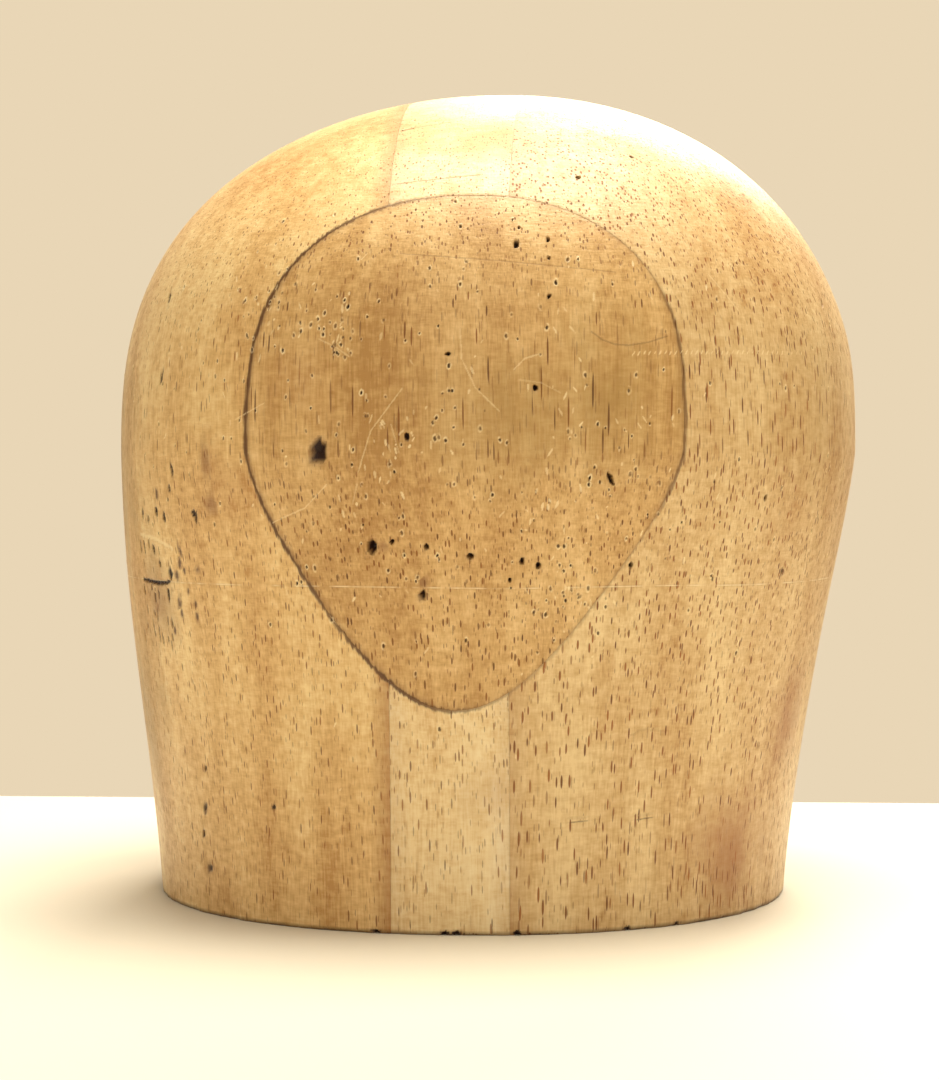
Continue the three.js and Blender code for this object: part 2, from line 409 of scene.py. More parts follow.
@dataclass
class Marks:
    """Every mark on the block, listed one by one at the front and strewn by rule elsewhere."""

    form: CarvedForm
    sight: float = 0.4  # rays start this far out
    pricks_in_front: int = 230
    clumps: int = 9
    flecks: int = 190
    pricks_round: int = 230
    prick_size: float = 0.23 * MM
    line_step: float = 0.45 * MM
    line_piece: float = 1.5  # mm
    tick_step: float = 1.05 * MM
    found: list[Mark] = field(default_factory=list, init=False)

    def build(self) -> Object:
        """Find every mark on the form and keep them as a cloud of points.

        Returns:
            The cloud's carrier, which is removed when the boards have been worked.
        """
        self.tree = BVHTree.FromPolygons(
            [vertex.co for vertex in self.form.mesh.vertices],
            [face.vertices for face in self.form.mesh.polygons],
        )
        self.dice = np.random.default_rng(SEED)
        self._holes()
        self._lines()
        self._left_flank()
        self._pricks()
        return self._cloud()

    def front(self, kind: Kind, x: float, z: float, width: float, height: float, tilt: float = 0.0,
              force: float = 1.0) -> None:
        """Add a mark as it is seen from the front.

        Args:
            kind: what made it.
            x: its place across, in millimetres.
            z: its height, in millimetres.
            width: its width, in millimetres.
            height: its height, in millimetres.
            tilt: its tilt, in degrees.
            force: how strongly it shows.
        """
        self._land(kind, Vector((x * MM, -self.sight, z * MM)), Vector((0, 1, 0)),
                   width * MM / 2, height * MM / 2, math.radians(tilt), force)

    def line(self, kind: Kind, points: list[tuple[float, float]], width: float, force: float = 1.0) -> None:
        """Add a run of small marks along a line seen from the front.

        Args:
            kind: what made them.
            points: the line's corners, in millimetres.
            width: the line's width, in millimetres.
            force: how strongly it shows.
        """
        for (x0, z0), (x1, z1) in zip(points, points[1:]):
            length = math.hypot(x1 - x0, z1 - z0) * MM
            steps = max(1, round(length / self.line_step))
            tilt = math.degrees(math.atan2(x1 - x0, z1 - z0))
            for step in range(steps):
                share = step / steps
                self.front(kind, x0 + (x1 - x0) * share, z0 + (z1 - z0) * share, width, self.line_piece,
                           -tilt, force)

    def _land(self, kind: Kind, start: Vector, way: Vector, width: float, height: float, tilt: float,
              force: float) -> None:
        """Keep a mark where a ray meets the form, if it does.

        Args:
            kind: what made it.
            start: where the ray starts.
            way: where the ray goes.
            width: half the mark's width.
            height: half its height.
            tilt: its tilt, in radians.
            force: how strongly it shows.
        """
        place, normal, _, _ = self.tree.ray_cast(start, way)
        if place is not None:
            self.found.append(Mark(kind, place, normal, width, height, tilt, force))

    def _holes(self) -> None:
        """Tack and nail holes round the band, and the bigger torn ones."""
        for x, z, width, height in (
            (-14.3, 84, 0.9, 1.0), (-10.8, 106, 1.1, 1.8), (-7.2, 83, 0.9, 1.3),
            (2, 81, 1.4, 1.1), (12.8, 80, 1.0, 1.4), (16.1, 79, 1.1, 1.3), (10.2, 76, 0.7, 0.9),
            (11.5, 146, 1.2, 1.8), (12, 149.5, 0.6, 0.9), (18.1, 147, 0.7, 1.3), (18.4, 143, 0.7, 0.9),
            (18.5, 135, 0.8, 1.1), (15.7, 116, 1.2, 1.5), (-2.3, 123, 0.8, 0.8), (35.4, 79, 0.8, 1.2),
            (64, 93, 0.9, 1.3), (68, 77, 0.9, 1.6), (35, 166.5, 1.0, 0.8), (24, 161, 1.1, 0.9),
        ):
            self.front(Kind.TACK_HOLE, x, z, width, height)
        for x, z, width, height in ((-30, 103, 3.3, 4.8), (-18.6, 83, 1.6, 2.8)):
            self.front(Kind.TORN_HOLE, x, z, width, height)
        self.front(Kind.SOFT_SPOT, -16.4, 83, 1.8, 1.6)
        self.front(Kind.TACK_HOLE, -8.1, 72.8, 1.6, 2.0)
        self.front(Kind.SOFT_SPOT, -8.1, 75.6, 1.8, 2.8)
        self.front(Kind.TACK_HOLE, 31.3, 97, 0.9, 3.6, 28)
        self.front(Kind.TACK_HOLE, 77.3, 136, 0.9, 2.8, -28)
        for x, z, size in (
            (-59, 33, 1.0), (-59.4, 24, 1.5), (-60, 18, 1.0), (-58.5, 10.5, 1.6), (-42, 26, 0.9),
        ):
            self.front(Kind.KNOT, x, z, size, size * 1.5, x / 3)
        for x, width in ((-19, 2.4), (-4.2, 1.8), (-1.6, 3.0), (11.2, 1.6), (34.5, 1.8), (45, 1.4)):
            self.front(Kind.CHIP, x, 0.4, width, 1.3)
        for x, z in ((24, 25), (38, 25)):
            self.front(Kind.DENT, x, z, 6.0, 0.9, 4)
            self.front(Kind.HAIRLINE, x, z - 0.9, 4.5, 0.3, 4)

    def _lines(self) -> None:
        """Scratches, hairlines, the pencil stroke, the arc-shaped dent and the row of ticks."""
        for points in (
            [(-29, 126), (-26, 124.6), (-23, 122.5)], [(0.2, 128), (0.6, 122), (3.4, 116), (8.5, 111)],
            [(-21, 99), (-18.5, 107), (-12, 115.6)], [(-22.5, 92), (-21.5, 96)], [(-14, 108), (-12.6, 103)],
            [(11.6, 120), (13.6, 122), (16.7, 123)], [(12.6, 117.6), (17, 117), (20.8, 115)],
            [(-48, 110), (-42, 113)], [(-40, 88), (-33, 91), (-28, 96)], [(52, 140), (58, 133)],
        ):
            self.line(Kind.SCRATCH, points, 0.35, self.dice.uniform(0.4, 0.8))
        self.line(Kind.CRACK, [(-14.8, 173), (-12, 173.7)], 0.35)
        self.line(Kind.HAIRLINE, [(-12, 173.7), (-4.6, 175)], 0.3)
        self.line(Kind.HAIRLINE, [(-14, 159.6), (3.3, 161.4)], 0.3, 0.7)
        pencilled = [(27.6, 127.4), (29.5, 126), (32, 125.1), (35, 124.9), (39, 125.6), (43, 127)]
        self.line(Kind.PENCIL, pencilled, 0.4)
        self.line(Kind.DENT, [(35.5, 42.6), (37, 43.4), (39, 43.8), (41, 43.4), (42.5, 42.6)], 0.7)
        self.line(Kind.HAIRLINE, [(-12, 144), (8, 142.4), (32, 140.2)], 0.22, 0.3)
        ticks = round(36 * MM / self.tick_step)
        for tick in range(ticks):
            share = tick / (ticks - 1)
            self.front(Kind.TICK, 36 + 36 * share, 123.3 + 1.1 * share, 0.35, 1.2, -35)

    def _left_flank(self) -> None:
        """The slashes, the rotted patch and its trail of specks on the left plank."""
        for x, z, height, tilt in (
            (-67, 137, 4, 15), (-68, 119, 4, -12), (-65, 99, 3, 8), (-59, 89, 3, -8), (-66, 95, 2, 0),
        ):
            self.front(Kind.CRACK, x, z, 1.1, height, tilt, 0.85)
        self.front(Kind.SOFT_SPOT, -56, 101, 2.2, 6.0, 3)
        self.front(Kind.SOFT_SPOT, -54.4, 91.6, 4.0, 4.0, 3, 0.7)
        self.line(Kind.CRACK, [(-75, 74.3), (-73, 74.1), (-70.5, 73.8), (-68, 74.0), (-66.8, 74.4)], 1.0)
        self.line(Kind.TICK, [(-75.4, 84.5), (-71, 83.8), (-65.5, 81.6)], 1.0)
        for x, z, width, height in (
            (-74.4, 89.3, 1.2, 2.2), (-72.6, 88.2, 1.0, 1.6), (-70, 89.9, 1.3, 2.8), (-67.7, 88.6, 1.3, 2.2),
            (-59.6, 89.6, 1.2, 1.9), (-75.6, 81.9, 1.0, 3.0), (-74.4, 82.1, 1.0, 3.4), (-72.9, 82.9, 0.9, 2.6),
            (-71.3, 81.3, 1.4, 2.2), (-69.6, 78.2, 1.0, 1.6), (-66.6, 75.9, 1.9, 3.4), (-67.4, 71.3, 1.2, 3.6),
            (-75, 72.1, 0.9, 2.4), (-72.6, 72.8, 0.9, 1.6), (-71.5, 70.5, 1.0, 3.0), (-70.4, 71.3, 1.0, 3.0),
        ):
            self.front(Kind.CRACK, x, z, width, height, self.dice.uniform(-8, 8))
        for x, z, width, height in (
            (-69.6, 93.7, 1.4, 2.0), (-63.6, 81.3, 1.0, 3.2), (-63.8, 78.4, 1.3, 2.8), (-64.7, 75.8, 1.5, 2.2),
            (-62.6, 76.8, 0.9, 1.4), (-59.2, 77.1, 1.6, 1.4), (-64.4, 69.5, 1.5, 3.4), (-63.8, 67.2, 1.1, 2.2),
            (-60, 69.7, 0.9, 1.4), (-59.7, 66.8, 1.0, 2.2), (-61.8, 72.4, 0.8, 1.4), (-66, 63.5, 0.8, 2.0),
        ):
            self.front(Kind.SPECK, x, z, width, height, self.dice.uniform(-12, 12))
        for _ in range(18):
            self.front(Kind.CRACK, self.dice.uniform(-76, -66.5), self.dice.uniform(60, 68.5), 0.8,
                       self.dice.uniform(1.2, 3.2), self.dice.uniform(-6, 6), self.dice.uniform(0.4, 0.8))

    def _pricks(self) -> None:
        """Pin pricks: crowded at the front, thinner all the way round the band and over the shoulders."""
        centres = [(self.dice.normal(0, 26), 108 + self.dice.normal(0, 20)) for _ in range(self.clumps)]
        for step in range(self.pricks_in_front):
            across, up = self.dice.normal(0, 34), 110 + self.dice.normal(0, 26)
            if step % 3 == 0:
                middle = centres[step % self.clumps]
                across, up = middle[0] + self.dice.normal(0, 4), middle[1] + self.dice.normal(0, 5)
            size = self.dice.uniform(0.7, 1.35)
            self.front(Kind.PRICK, across, up, 2 * size * self.prick_size / MM,
                       3.2 * size * self.prick_size / MM, self.dice.uniform(-15, 15),
                       self.dice.uniform(0.35, 1.0))
        for step in range(self.flecks):
            middle = centres[step % self.clumps]
            spread = 4 if step % 2 else 30
            across, up = (centre + self.dice.normal(0, spread) for centre in middle)
            self.front(Kind.FLECK, across, up, self.dice.uniform(0.3, 0.6), self.dice.uniform(0.5, 2.2),
                       self.dice.uniform(-40, 40), self.dice.uniform(0.4, 1.0))
        for _ in range(self.pricks_round):
            turn = self.dice.uniform(0, math.tau)
            way = Vector((math.cos(turn), math.sin(turn), 0))
            start = way * self.sight + Vector((0, 0, 108 * MM + self.dice.normal(0, 20) * MM))
            size = self.dice.uniform(0.7, 1.3) * self.prick_size
            self._land(Kind.PRICK, start, -way, size, 1.6 * size, self.dice.uniform(-0.3, 0.3),
                       self.dice.uniform(0.35, 1.0))

    def _cloud(self) -> Object:
        """Keep the marks as points that carry their sizes and their effect.

        Returns:
            The points' object.
        """
        mesh = bpy.data.meshes.new("marks")
        mesh.from_pydata([mark.place for mark in self.found], [], [])
        bites = [mark.kind.value for mark in self.found]
        columns = {
            "mark_normal": [mark.normal for mark in self.found],
            "mark_size": [(mark.width, mark.height, -mark.tilt) for mark in self.found],
            "mark_bite": [(bite.depth, bite.rim, bite.ragged) for bite in bites],
            "mark_tone": [(bite.dark, bite.pale, bite.brown) for bite in bites],
            "mark_force": [(mark.force, 0, 0) for mark in self.found],
        }
        for name, rows in columns.items():
            layer = mesh.attributes.new(name, "FLOAT_VECTOR", "POINT")
            layer.data.foreach_set("vector", [value for row in rows for value in row])
        return piece("marks", mesh)


# ----------------------------------------------------------------------------------- finer surface

@dataclass
class FinerSurface:
    """Splits the form's faces where the glue lines, the foot and the marks need small ones."""

    form: CarvedForm
    marks: Marks
    seam_band: float = 1.2 * MM
    seam_span: float = 0.34 * MM
    foot_band: float = 1.4 * MM
    rimmed_room: float = 2.3  # how far a mark with a rim is felt, as a multiple of its half height
    plain_room: float = 1.3
    fineness: float = 0.85  # a mark's face size, as a share of its half width
    levels: int = 3
    most_corners: int = 8  # the flat underside has more, and is left whole
    cell: float = 4 * MM

    def build(self) -> None:
        """Split the faces, level by level, each level nearer to what needs it."""
        places = np.array([mark.place for mark in self.marks.found])
        reach = np.array([
            max(mark.width, mark.height) * (self.rimmed_room if mark.kind.value.rim else self.plain_room)
            for mark in self.marks.found
        ])
        fine = np.array([min(mark.width, mark.height) for mark in self.marks.found]) * self.fineness
        shape = bmesh.new()
        shape.from_mesh(self.form.mesh)
        for level in range(self.levels):
            chosen = self._faces(shape, places, reach, fine, level)
            edges = {edge for face in chosen for edge in face.edges}
            bmesh.ops.subdivide_edges(shape, edges=list(edges), cuts=1, use_grid_fill=True)
        bmesh.ops.recalc_face_normals(shape, faces=shape.faces)
        shape.to_mesh(self.form.mesh)
        shape.free()

    def _faces(self, shape: bmesh.types.BMesh, places: np.ndarray, reach: np.ndarray, fine: np.ndarray,
               level: int) -> list[bmesh.types.BMFace]:
        """The faces that are too big for what lies near them.

        Args:
            shape: the form.
            places: where the marks are.
            reach: how far each mark is felt.
            fine: the face size that each mark needs.
            level: the level of splitting, from 0.

        Returns:
            The faces to split.
        """
        shape.faces.ensure_lookup_table()
        faces = [face for face in shape.faces if len(face.verts) <= self.most_corners]
        centres = np.array([face.calc_center_median() for face in faces])
        normals = np.array([face.normal for face in faces])
        spans = np.array([face.edges[0].calc_length() + face.edges[1].calc_length() for face in faces]) / 2
        seam = self._seam_distance(centres, normals)
        wanted = (seam < self.seam_band + spans / 2) & (spans > self.seam_span)
        wanted |= (centres[:, 2] < self.foot_band) & (spans > self.seam_span) & (centres[:, 2] > 0)
        cells: dict[tuple, list[int]] = {}
        for index, key in enumerate(map(tuple, np.floor(centres / self.cell).astype(int))):
            cells.setdefault(key, []).append(index)
        for place, far, size in zip(places, reach, fine):
            base = np.floor(place / self.cell).astype(int)
            steps = range(-1, 2)
            near = [i for dx in steps for dy in steps for dz in steps
                    for i in cells.get((base[0] + dx, base[1] + dy, base[2] + dz), ())]
            if near:
                near_faces = np.array(near)
                gap = np.linalg.norm(centres[near_faces] - place, axis=1)
                wanted[near_faces[(gap < far + spans[near_faces] * 0.7) & (spans[near_faces] > size)]] = True
        return [faces[index] for index in np.flatnonzero(wanted)]

    def _seam_distance(self, centres: np.ndarray, normals: np.ndarray) -> np.ndarray:
        """Measure how far each point is from the nearest glue line that reaches it, along the surface.

        Args:
            centres: the points.
            normals: which way the surface faces at each.

        Returns:
            The distances.
        """
        y0, y1 = self.form.seam_y
        slant = np.sqrt(np.maximum(1 - normals ** 2, 0.01))
        across = np.min([np.abs(centres[:, 0] - x) for x in self.form.seam_x], axis=0) / slant[:, 0]
        between = (centres[:, 1] > y0 - self.seam_band) & (centres[:, 1] < y1 + self.seam_band)
        across = np.where(between, across, 1.0)
        along = np.min([np.abs(centres[:, 1] - y) for y in (y0, y1)], axis=0) / slant[:, 1]
        return np.minimum(across, along)


# -------------------------------------------------------------------------------------------- wear

@dataclass
class Wear:
    """Eases the glue-line edges and the foot, and sinks the marks into the wood."""

    form: CarvedForm
    cloud: Object
    plank_arris: float = 0.015 * MM
    facing_arris: float = 0.045 * MM
    arris_width: float = 0.6 * MM
    foot_width: float = 1.0 * MM
    foot_depth: float = 0.45 * MM

    def tree(self) -> Tree:
        """Write the wear as a Geometry Nodes tree: each point of a board looks up its nearest mark.

        Returns:
            The tree.
        """
        names = {name: "NodeSocketFloat" for name in (
            "Left Seam", "Right Seam", "Front Seam", "Rear Seam", "Arris Width", "Plank Arris",
            "Facing Arris", "Foot Width", "Foot Depth")}
        names |= {"Marks": "NodeSocketObject", "Material": "NodeSocketMaterial"}
        tree, given = new_tree("wear", names)
        size = given.outputs
        here = add(tree, "GeometryNodeInputPosition")
        normal = add(tree, "GeometryNodeInputNormal")
        apart, round_off = self._nearest(tree, size["Marks"], here)
        lift, tones = self._bitten(tree, here, apart, round_off)
        spot = add(tree, "ShaderNodeSeparateXYZ", [here]).node.outputs
        planks, facings = self._seams(tree, size, spot, normal)
        gaps = add(tree, "ShaderNodeCombineXYZ", [planks, facings, spot["Z"]])
        eased, foot = self._eased(tree, size, here, normal, (planks, facings, spot["Z"]))
        total = add(tree, MATH, [lift, eased], operation="SUBTRACT")
        offset = add(tree, VECTOR_MATH, {0: normal, "Scale": total}, operation="SCALE")
        level = add(tree, VECTOR_MATH, [here, (1.0, 1.0, 0.0)], operation="MULTIPLY")
        outward = add(tree, VECTOR_MATH, [level], operation="NORMALIZE")
        foot = add(tree, MATH, [foot, -1.0], operation="MULTIPLY")
        inward = add(tree, VECTOR_MATH, {0: outward, "Scale": foot}, operation="SCALE")
        offset = add(tree, VECTOR_MATH, [offset, inward], operation="ADD")
        moved = add(tree, VECTOR_MATH, [here, offset], operation="ADD")
        above_table = add(tree, VECTOR_MATH, [moved, (-1.0, -1.0, 0.0)], operation="MAXIMUM")
        geometry = size["Geometry"]
        for name, value in (("marked", tones), ("gaps", gaps)):
            geometry = add(tree, "GeometryNodeStoreNamedAttribute",
                           {"Geometry": geometry, "Name": name, "Value": value}, data_type="FLOAT_VECTOR",
                           domain="POINT")
        end_tree(tree, add(tree, "GeometryNodeSetPosition", {"Geometry": geometry, "Position": above_table}),
                 size["Material"])
        return tree

    def _nearest(self, tree: Tree, marks: Socket,
                 here: Socket) -> tuple[dict, Socket]:
        """Look up the nearest mark, and how far off it a point is.

        Args:
            tree: the wear's tree.
            marks: the input that holds the cloud.
            here: the point's place.

        Returns:
            What the mark carries, by name and axis, and the distance off it, which is 1 at its outline.
        """
        cloud = add(tree, "GeometryNodeObjectInfo", [marks], out="Geometry")
        nearest = add(tree, "GeometryNodeSampleNearest", [cloud, here], domain="POINT")
        values = {
            name: add(tree, "GeometryNodeInputNamedAttribute", [f"mark_{name}"], data_type="FLOAT_VECTOR")
            for name in ("normal", "size", "bite", "tone", "force")
        }
        named = {
            name: add(tree, "GeometryNodeSampleIndex", {"Geometry": cloud, "Value": value, "Index": nearest},
                      data_type="FLOAT_VECTOR")
            for name, value in (values | {"place": here}).items()
        }
        apart = {
            name: add(tree, "ShaderNodeSeparateXYZ", [value]).node.outputs for name, value in named.items()
        }
        away = add(tree, VECTOR_MATH, [here, named["place"]], operation="SUBTRACT")
        sideways = add(tree, VECTOR_MATH, [(0, 0, 1), named["normal"]], operation="CROSS_PRODUCT")
        sideways = add(tree, VECTOR_MATH, [sideways], operation="NORMALIZE")
        upward = add(tree, VECTOR_MATH, [named["normal"], sideways], operation="CROSS_PRODUCT")
        flat = add(tree, "ShaderNodeCombineXYZ", [
            add(tree, VECTOR_MATH, [away, way], out="Value", operation="DOT_PRODUCT")
            for way in (sideways, upward)
        ])
        turned_flat = add(tree, "ShaderNodeVectorRotate", {"Vector": flat, "Angle": apart["size"]["Z"]},
                          rotation_type="Z_AXIS")
        halves = add(tree, "ShaderNodeCombineXYZ", [apart["size"]["X"], apart["size"]["Y"], 1.0])
        scaled = add(tree, VECTOR_MATH, [turned_flat, halves], operation="DIVIDE")
        return apart, add(tree, VECTOR_MATH, [scaled], out="Value", operation="LENGTH")

    def _bitten(self, tree: Tree, here: Socket, apart: dict,
                round_off: Socket) -> tuple[Socket, Socket]:
        """Shape a mark: a ragged pit, and a patchy rim of wood thrown up round it.

        Args:
            tree: the wear's tree.
            here: the point's place.
            apart: what the nearest mark carries.
            round_off: the distance off it.

        Returns:
            How far the surface lifts, and its dark, pale and brown.
        """
        force = apart["force"]["X"]
        fibres = add(tree, VECTOR_MATH, [here, (1.0, 1.0, 0.4)], operation="MULTIPLY")
        torn = add(tree, NOISE, {"Vector": fibres, "Scale": 1500.0, "Detail": 2.0})
        stray = add(tree, MATH, [add(tree, MATH, [torn, 0.5], operation="SUBTRACT"), apart["bite"]["Z"]],
                    operation="MULTIPLY")
        radius = add(tree, MATH, [stray, 2.2, round_off], operation="MULTIPLY_ADD")
        pit, inner, outer = (
            add(tree, RANGE, {"Value": radius, "From Min": near, "From Max": far, "To Min": start,
                              "To Max": end}, interpolation_type="SMOOTHSTEP")
            for near, far, start, end in (
                (0.45, 1.05, 1.0, 0.0), (0.85, 1.2, 0.0, 1.0), (1.45, 2.3, 1.0, 0.0))
        )
        patchy = add(tree, RANGE, {"Value": add(tree, NOISE, {"Vector": here, "Scale": 900.0, "Detail": 1.0}),
                                   "From Min": 0.40, "From Max": 0.50})
        patchy = add(tree, MATH, [patchy, force], operation="MULTIPLY")
        ring = add(tree, MATH, [inner, outer], operation="MULTIPLY")
        rim = add(tree, MATH, [ring, patchy], operation="MULTIPLY")
        sunk = add(tree, MATH, [pit, apart["bite"]["X"]], operation="MULTIPLY")
        sunk = add(tree, MATH, [sunk, force], operation="MULTIPLY")
        raised = add(tree, MATH, [rim, apart["bite"]["Y"]], operation="MULTIPLY")
        # how black the pit is painted: grime, and painted shade of its depth
        black = add(tree, RANGE, {"Value": pit, "From Max": 0.45}, interpolation_type="SMOOTHSTEP")
        black = add(tree, MATH, [black, force], operation="MULTIPLY")
        brown = add(tree, RANGE, {"Value": radius, "From Min": 0.5, "From Max": 1.8, "To Min": 1.0,
                                  "To Max": 0.0})
        tones = add(tree, "ShaderNodeCombineXYZ", [
            add(tree, MATH, [share, apart["tone"][axis]], operation="MULTIPLY")
            for share, axis in ((black, "X"), (rim, "Y"), (brown, "Z"))
        ])
        return add(tree, MATH, [raised, sunk], operation="SUBTRACT"), tones

    def _eased(self, tree: Tree, size: Sockets, here: Socket,
               normal: Socket, gaps: tuple) -> tuple[Socket, ...]:
        """Ease the edges at the glue lines, and round the foot where it doesn't face down.

        Args:
            tree: the wear's tree.
            size: the tree's inputs.
            here: the point's place.
            normal: which way its surface faces.
            gaps: the distances to the two kinds of glue line, and the height.

        Returns:
            How much the edges and the foot lose, unevenly.
        """
        planks, facings, height = gaps
        eased = None
        for gap, depth in ((planks, "Plank Arris"), (facings, "Facing Arris")):
            edge = add(tree, RANGE, {"Value": gap, "From Max": size["Arris Width"], "To Min": 1.0,
                                     "To Max": 0.0})
            edge = add(tree, MATH, [add(tree, MATH, [edge, 2.0], operation="POWER"), size[depth]],
                       operation="MULTIPLY")
            eased = edge if eased is None else add(tree, MATH, [eased, edge], operation="MAXIMUM")
        foot = add(tree, RANGE, {"Value": height, "From Max": size["Foot Width"], "To Min": 1.0,
                                 "To Max": 0.0})
        foot = add(tree, MATH, [add(tree, MATH, [foot, 2.0], operation="POWER"), size["Foot Depth"]],
                   operation="MULTIPLY")
        facing_down = add(tree, "ShaderNodeSeparateXYZ", [normal]).node.outputs["Z"]
        rounded = add(tree, RANGE, {"Value": facing_down, "From Min": -0.95, "From Max": -0.8})
        foot = add(tree, MATH, [foot, rounded], operation="MULTIPLY")
        uneven = add(tree, RANGE, {"Value": add(tree, NOISE, {"Vector": here, "Scale": 160.0, "Detail": 3.0}),
                                   "From Min": 0.35, "From Max": 0.65, "To Min": 0.25, "To Max": 1.5})
        return tuple(add(tree, MATH, [loss, uneven], operation="MULTIPLY") for loss in (eased, foot))

    def _seams(self, tree: Tree, size: Sockets,
               spot: Sockets, normal: Socket) -> list[Socket]:
        """Measure along the surface to the planks' glue lines and to the facing boards' ones.

        The planks' lines stop at the facing boards. A joint's own face counts as lying on its line.

        Args:
            tree: the wear's tree.
            size: the tree's inputs.
            spot: the point's place, by axis.
            normal: which way its surface faces.

        Returns:
            The two distances.
        """
        facing = add(tree, "ShaderNodeSeparateXYZ", [normal]).node.outputs
        found = []
        for axis, seams in (("X", ("Left Seam", "Right Seam")), ("Y", ("Front Seam", "Rear Seam"))):
            gaps = [
                add(tree, MATH, [add(tree, MATH, [spot[axis], size[seam]], operation="SUBTRACT")],
                    operation="ABSOLUTE")
                for seam in seams
            ]
            gap = add(tree, MATH, gaps, operation="MINIMUM")
            square = add(tree, MATH, [facing[axis], 2.0], operation="POWER")
            slant = add(tree, MATH, [add(tree, MATH, [1.0, square], operation="SUBTRACT", use_clamp=True)],
                        operation="SQRT")
            outside = add(tree, MATH, [slant, 0.1], operation="GREATER_THAN")
            along = add(tree, MATH, [gap, slant], operation="DIVIDE")
            found.append(add(tree, "GeometryNodeSwitch", [outside, gap, along], input_type="FLOAT"))
        before = add(tree, MATH, [spot["Y"], size["Front Seam"]], operation="LESS_THAN")
        behind = add(tree, MATH, [spot["Y"], size["Rear Seam"]], operation="GREATER_THAN")
        beyond = add(tree, MATH, [before, behind], operation="ADD")
        found[0] = add(tree, MATH, [found[0], beyond], operation="ADD")
        return found

    def work(self, name: str, mesh: Mesh, material: Material) -> Mesh:
        """Wear one board.

        Args:
            name: the new mesh's name.
            mesh: the board as it was cut.
            material: its finish.

        Returns:
            The worn board's mesh.
        """
        (left, right), (front, rear) = self.form.seam_x, self.form.seam_y
        inputs = {
            "Left Seam": left, "Right Seam": right, "Front Seam": front, "Rear Seam": rear,
            "Arris Width": self.arris_width, "Plank Arris": self.plank_arris,
            "Facing Arris": self.facing_arris, "Foot Width": self.foot_width, "Foot Depth": self.foot_depth,
            "Marks": self.cloud, "Material": material,
        }
        return grow(self.tree(), name, mesh, inputs)


# --------------------------------------------------------------------------------- solids and cuts

def turned(profile: list[tuple[float, float]], x: float, y: float, sides: int) -> bmesh.types.BMesh:
    """Turn a closed solid round an upright axis.

    Args:
        profile: radius and height of each point, from axis to axis.
        x: the axis's place.
        y: the axis's place.
        sides: the number of sides.

    Returns:
        The solid, faces outwards.
    """
    shape = bmesh.new()
    line = [shape.verts.new((x + radius, y, height)) for radius, height in profile]
    edges = [shape.edges.new(pair) for pair in zip(line, line[1:])]
    bmesh.ops.spin(shape, geom=line + edges, cent=(x, y, 0), axis=(0, 0, 1), angle=math.tau, steps=sides)
    bmesh.ops.remove_doubles(shape, verts=shape.verts, dist=0.001 * MM)
    bmesh.ops.recalc_face_normals(shape, faces=shape.faces)
    return shape


def block_of(low: tuple[float, float, float], high: tuple[float, float, float]) -> bmesh.types.BMesh:
    """Make a plain box.

    Args:
        low: its lowest corner.
        high: its highest corner.

    Returns:
        The box.
    """
    shape = bmesh.new()
    bmesh.ops.create_cube(shape, size=1.0)
    for vertex in shape.verts:
        vertex.co = [a + (b - a) * (c + 0.5) for a, b, c in zip(low, high, vertex.co)]
    return shape


def solid(name: str, shape: bmesh.types.BMesh) -> Object:
    """Put a bmesh in the scene.

    Args:
        name: the object's name.
        shape: the bmesh, which is freed.

    Returns:
        The object.
    """
    mesh = bpy.data.meshes.new(name)
    shape.to_mesh(mesh)
    shape.free()
    return piece(name, mesh)


def cut(name: str, base: Object, steps: list[tuple[str, Object]]) -> Mesh:
    """Cut one solid by others.

    Args:
        name: the new mesh's name.
        base: the solid to cut, which is left as it is.
        steps: an operation and its cutter for each step.

    Returns:
        The cut solid's mesh.
    """
    for operation, cutter in steps:
        modifier = base.modifiers.new(operation, "BOOLEAN")
        modifier.solver = "MANIFOLD"
        modifier.operation = operation
        modifier.object = cutter
    depsgraph = bpy.context.evaluated_depsgraph_get()
    mesh = bpy.data.meshes.new_from_object(base.evaluated_get(depsgraph), depsgraph=depsgraph)
    mesh.name = name
    base.modifiers.clear()
    shape = bmesh.new()
    shape.from_mesh(mesh)
    bmesh.ops.triangulate(shape, faces=[face for face in shape.faces if len(face.verts) > 4])
    shape.to_mesh(mesh)
    shape.free()
    return mesh


# ---------------------------------------------------------------------------------------- finishes

@dataclass(frozen=True)
class Vessels:
    """One size of vessel in the wood: how far apart, how long and how wide they are, in millimetres."""

    gap: float
    length: float
    width: float
    strength: float
    missing: float  # the share of places without one
    only: tuple[float, float] | None = None  # heights between which it shows, where not everywhere


@dataclass(frozen=True)
class Stain:
    """A soft-edged stain in the wood: its middle and reach in millimetres, its colour and its strength."""

    middle: tuple[float, float, float]
    reach: float
    colour: str
    strength: float


@dataclass(frozen=True)
class Pattern:
    """A noise in the wood: how many blotches go to a millimetre along each axis, and how fine they are."""

    rate: tuple[float, float, float]
    detail: float = 2.0
    roughness: float = 0.5
    in_grain: bool = True  # whether it follows the grain's wander


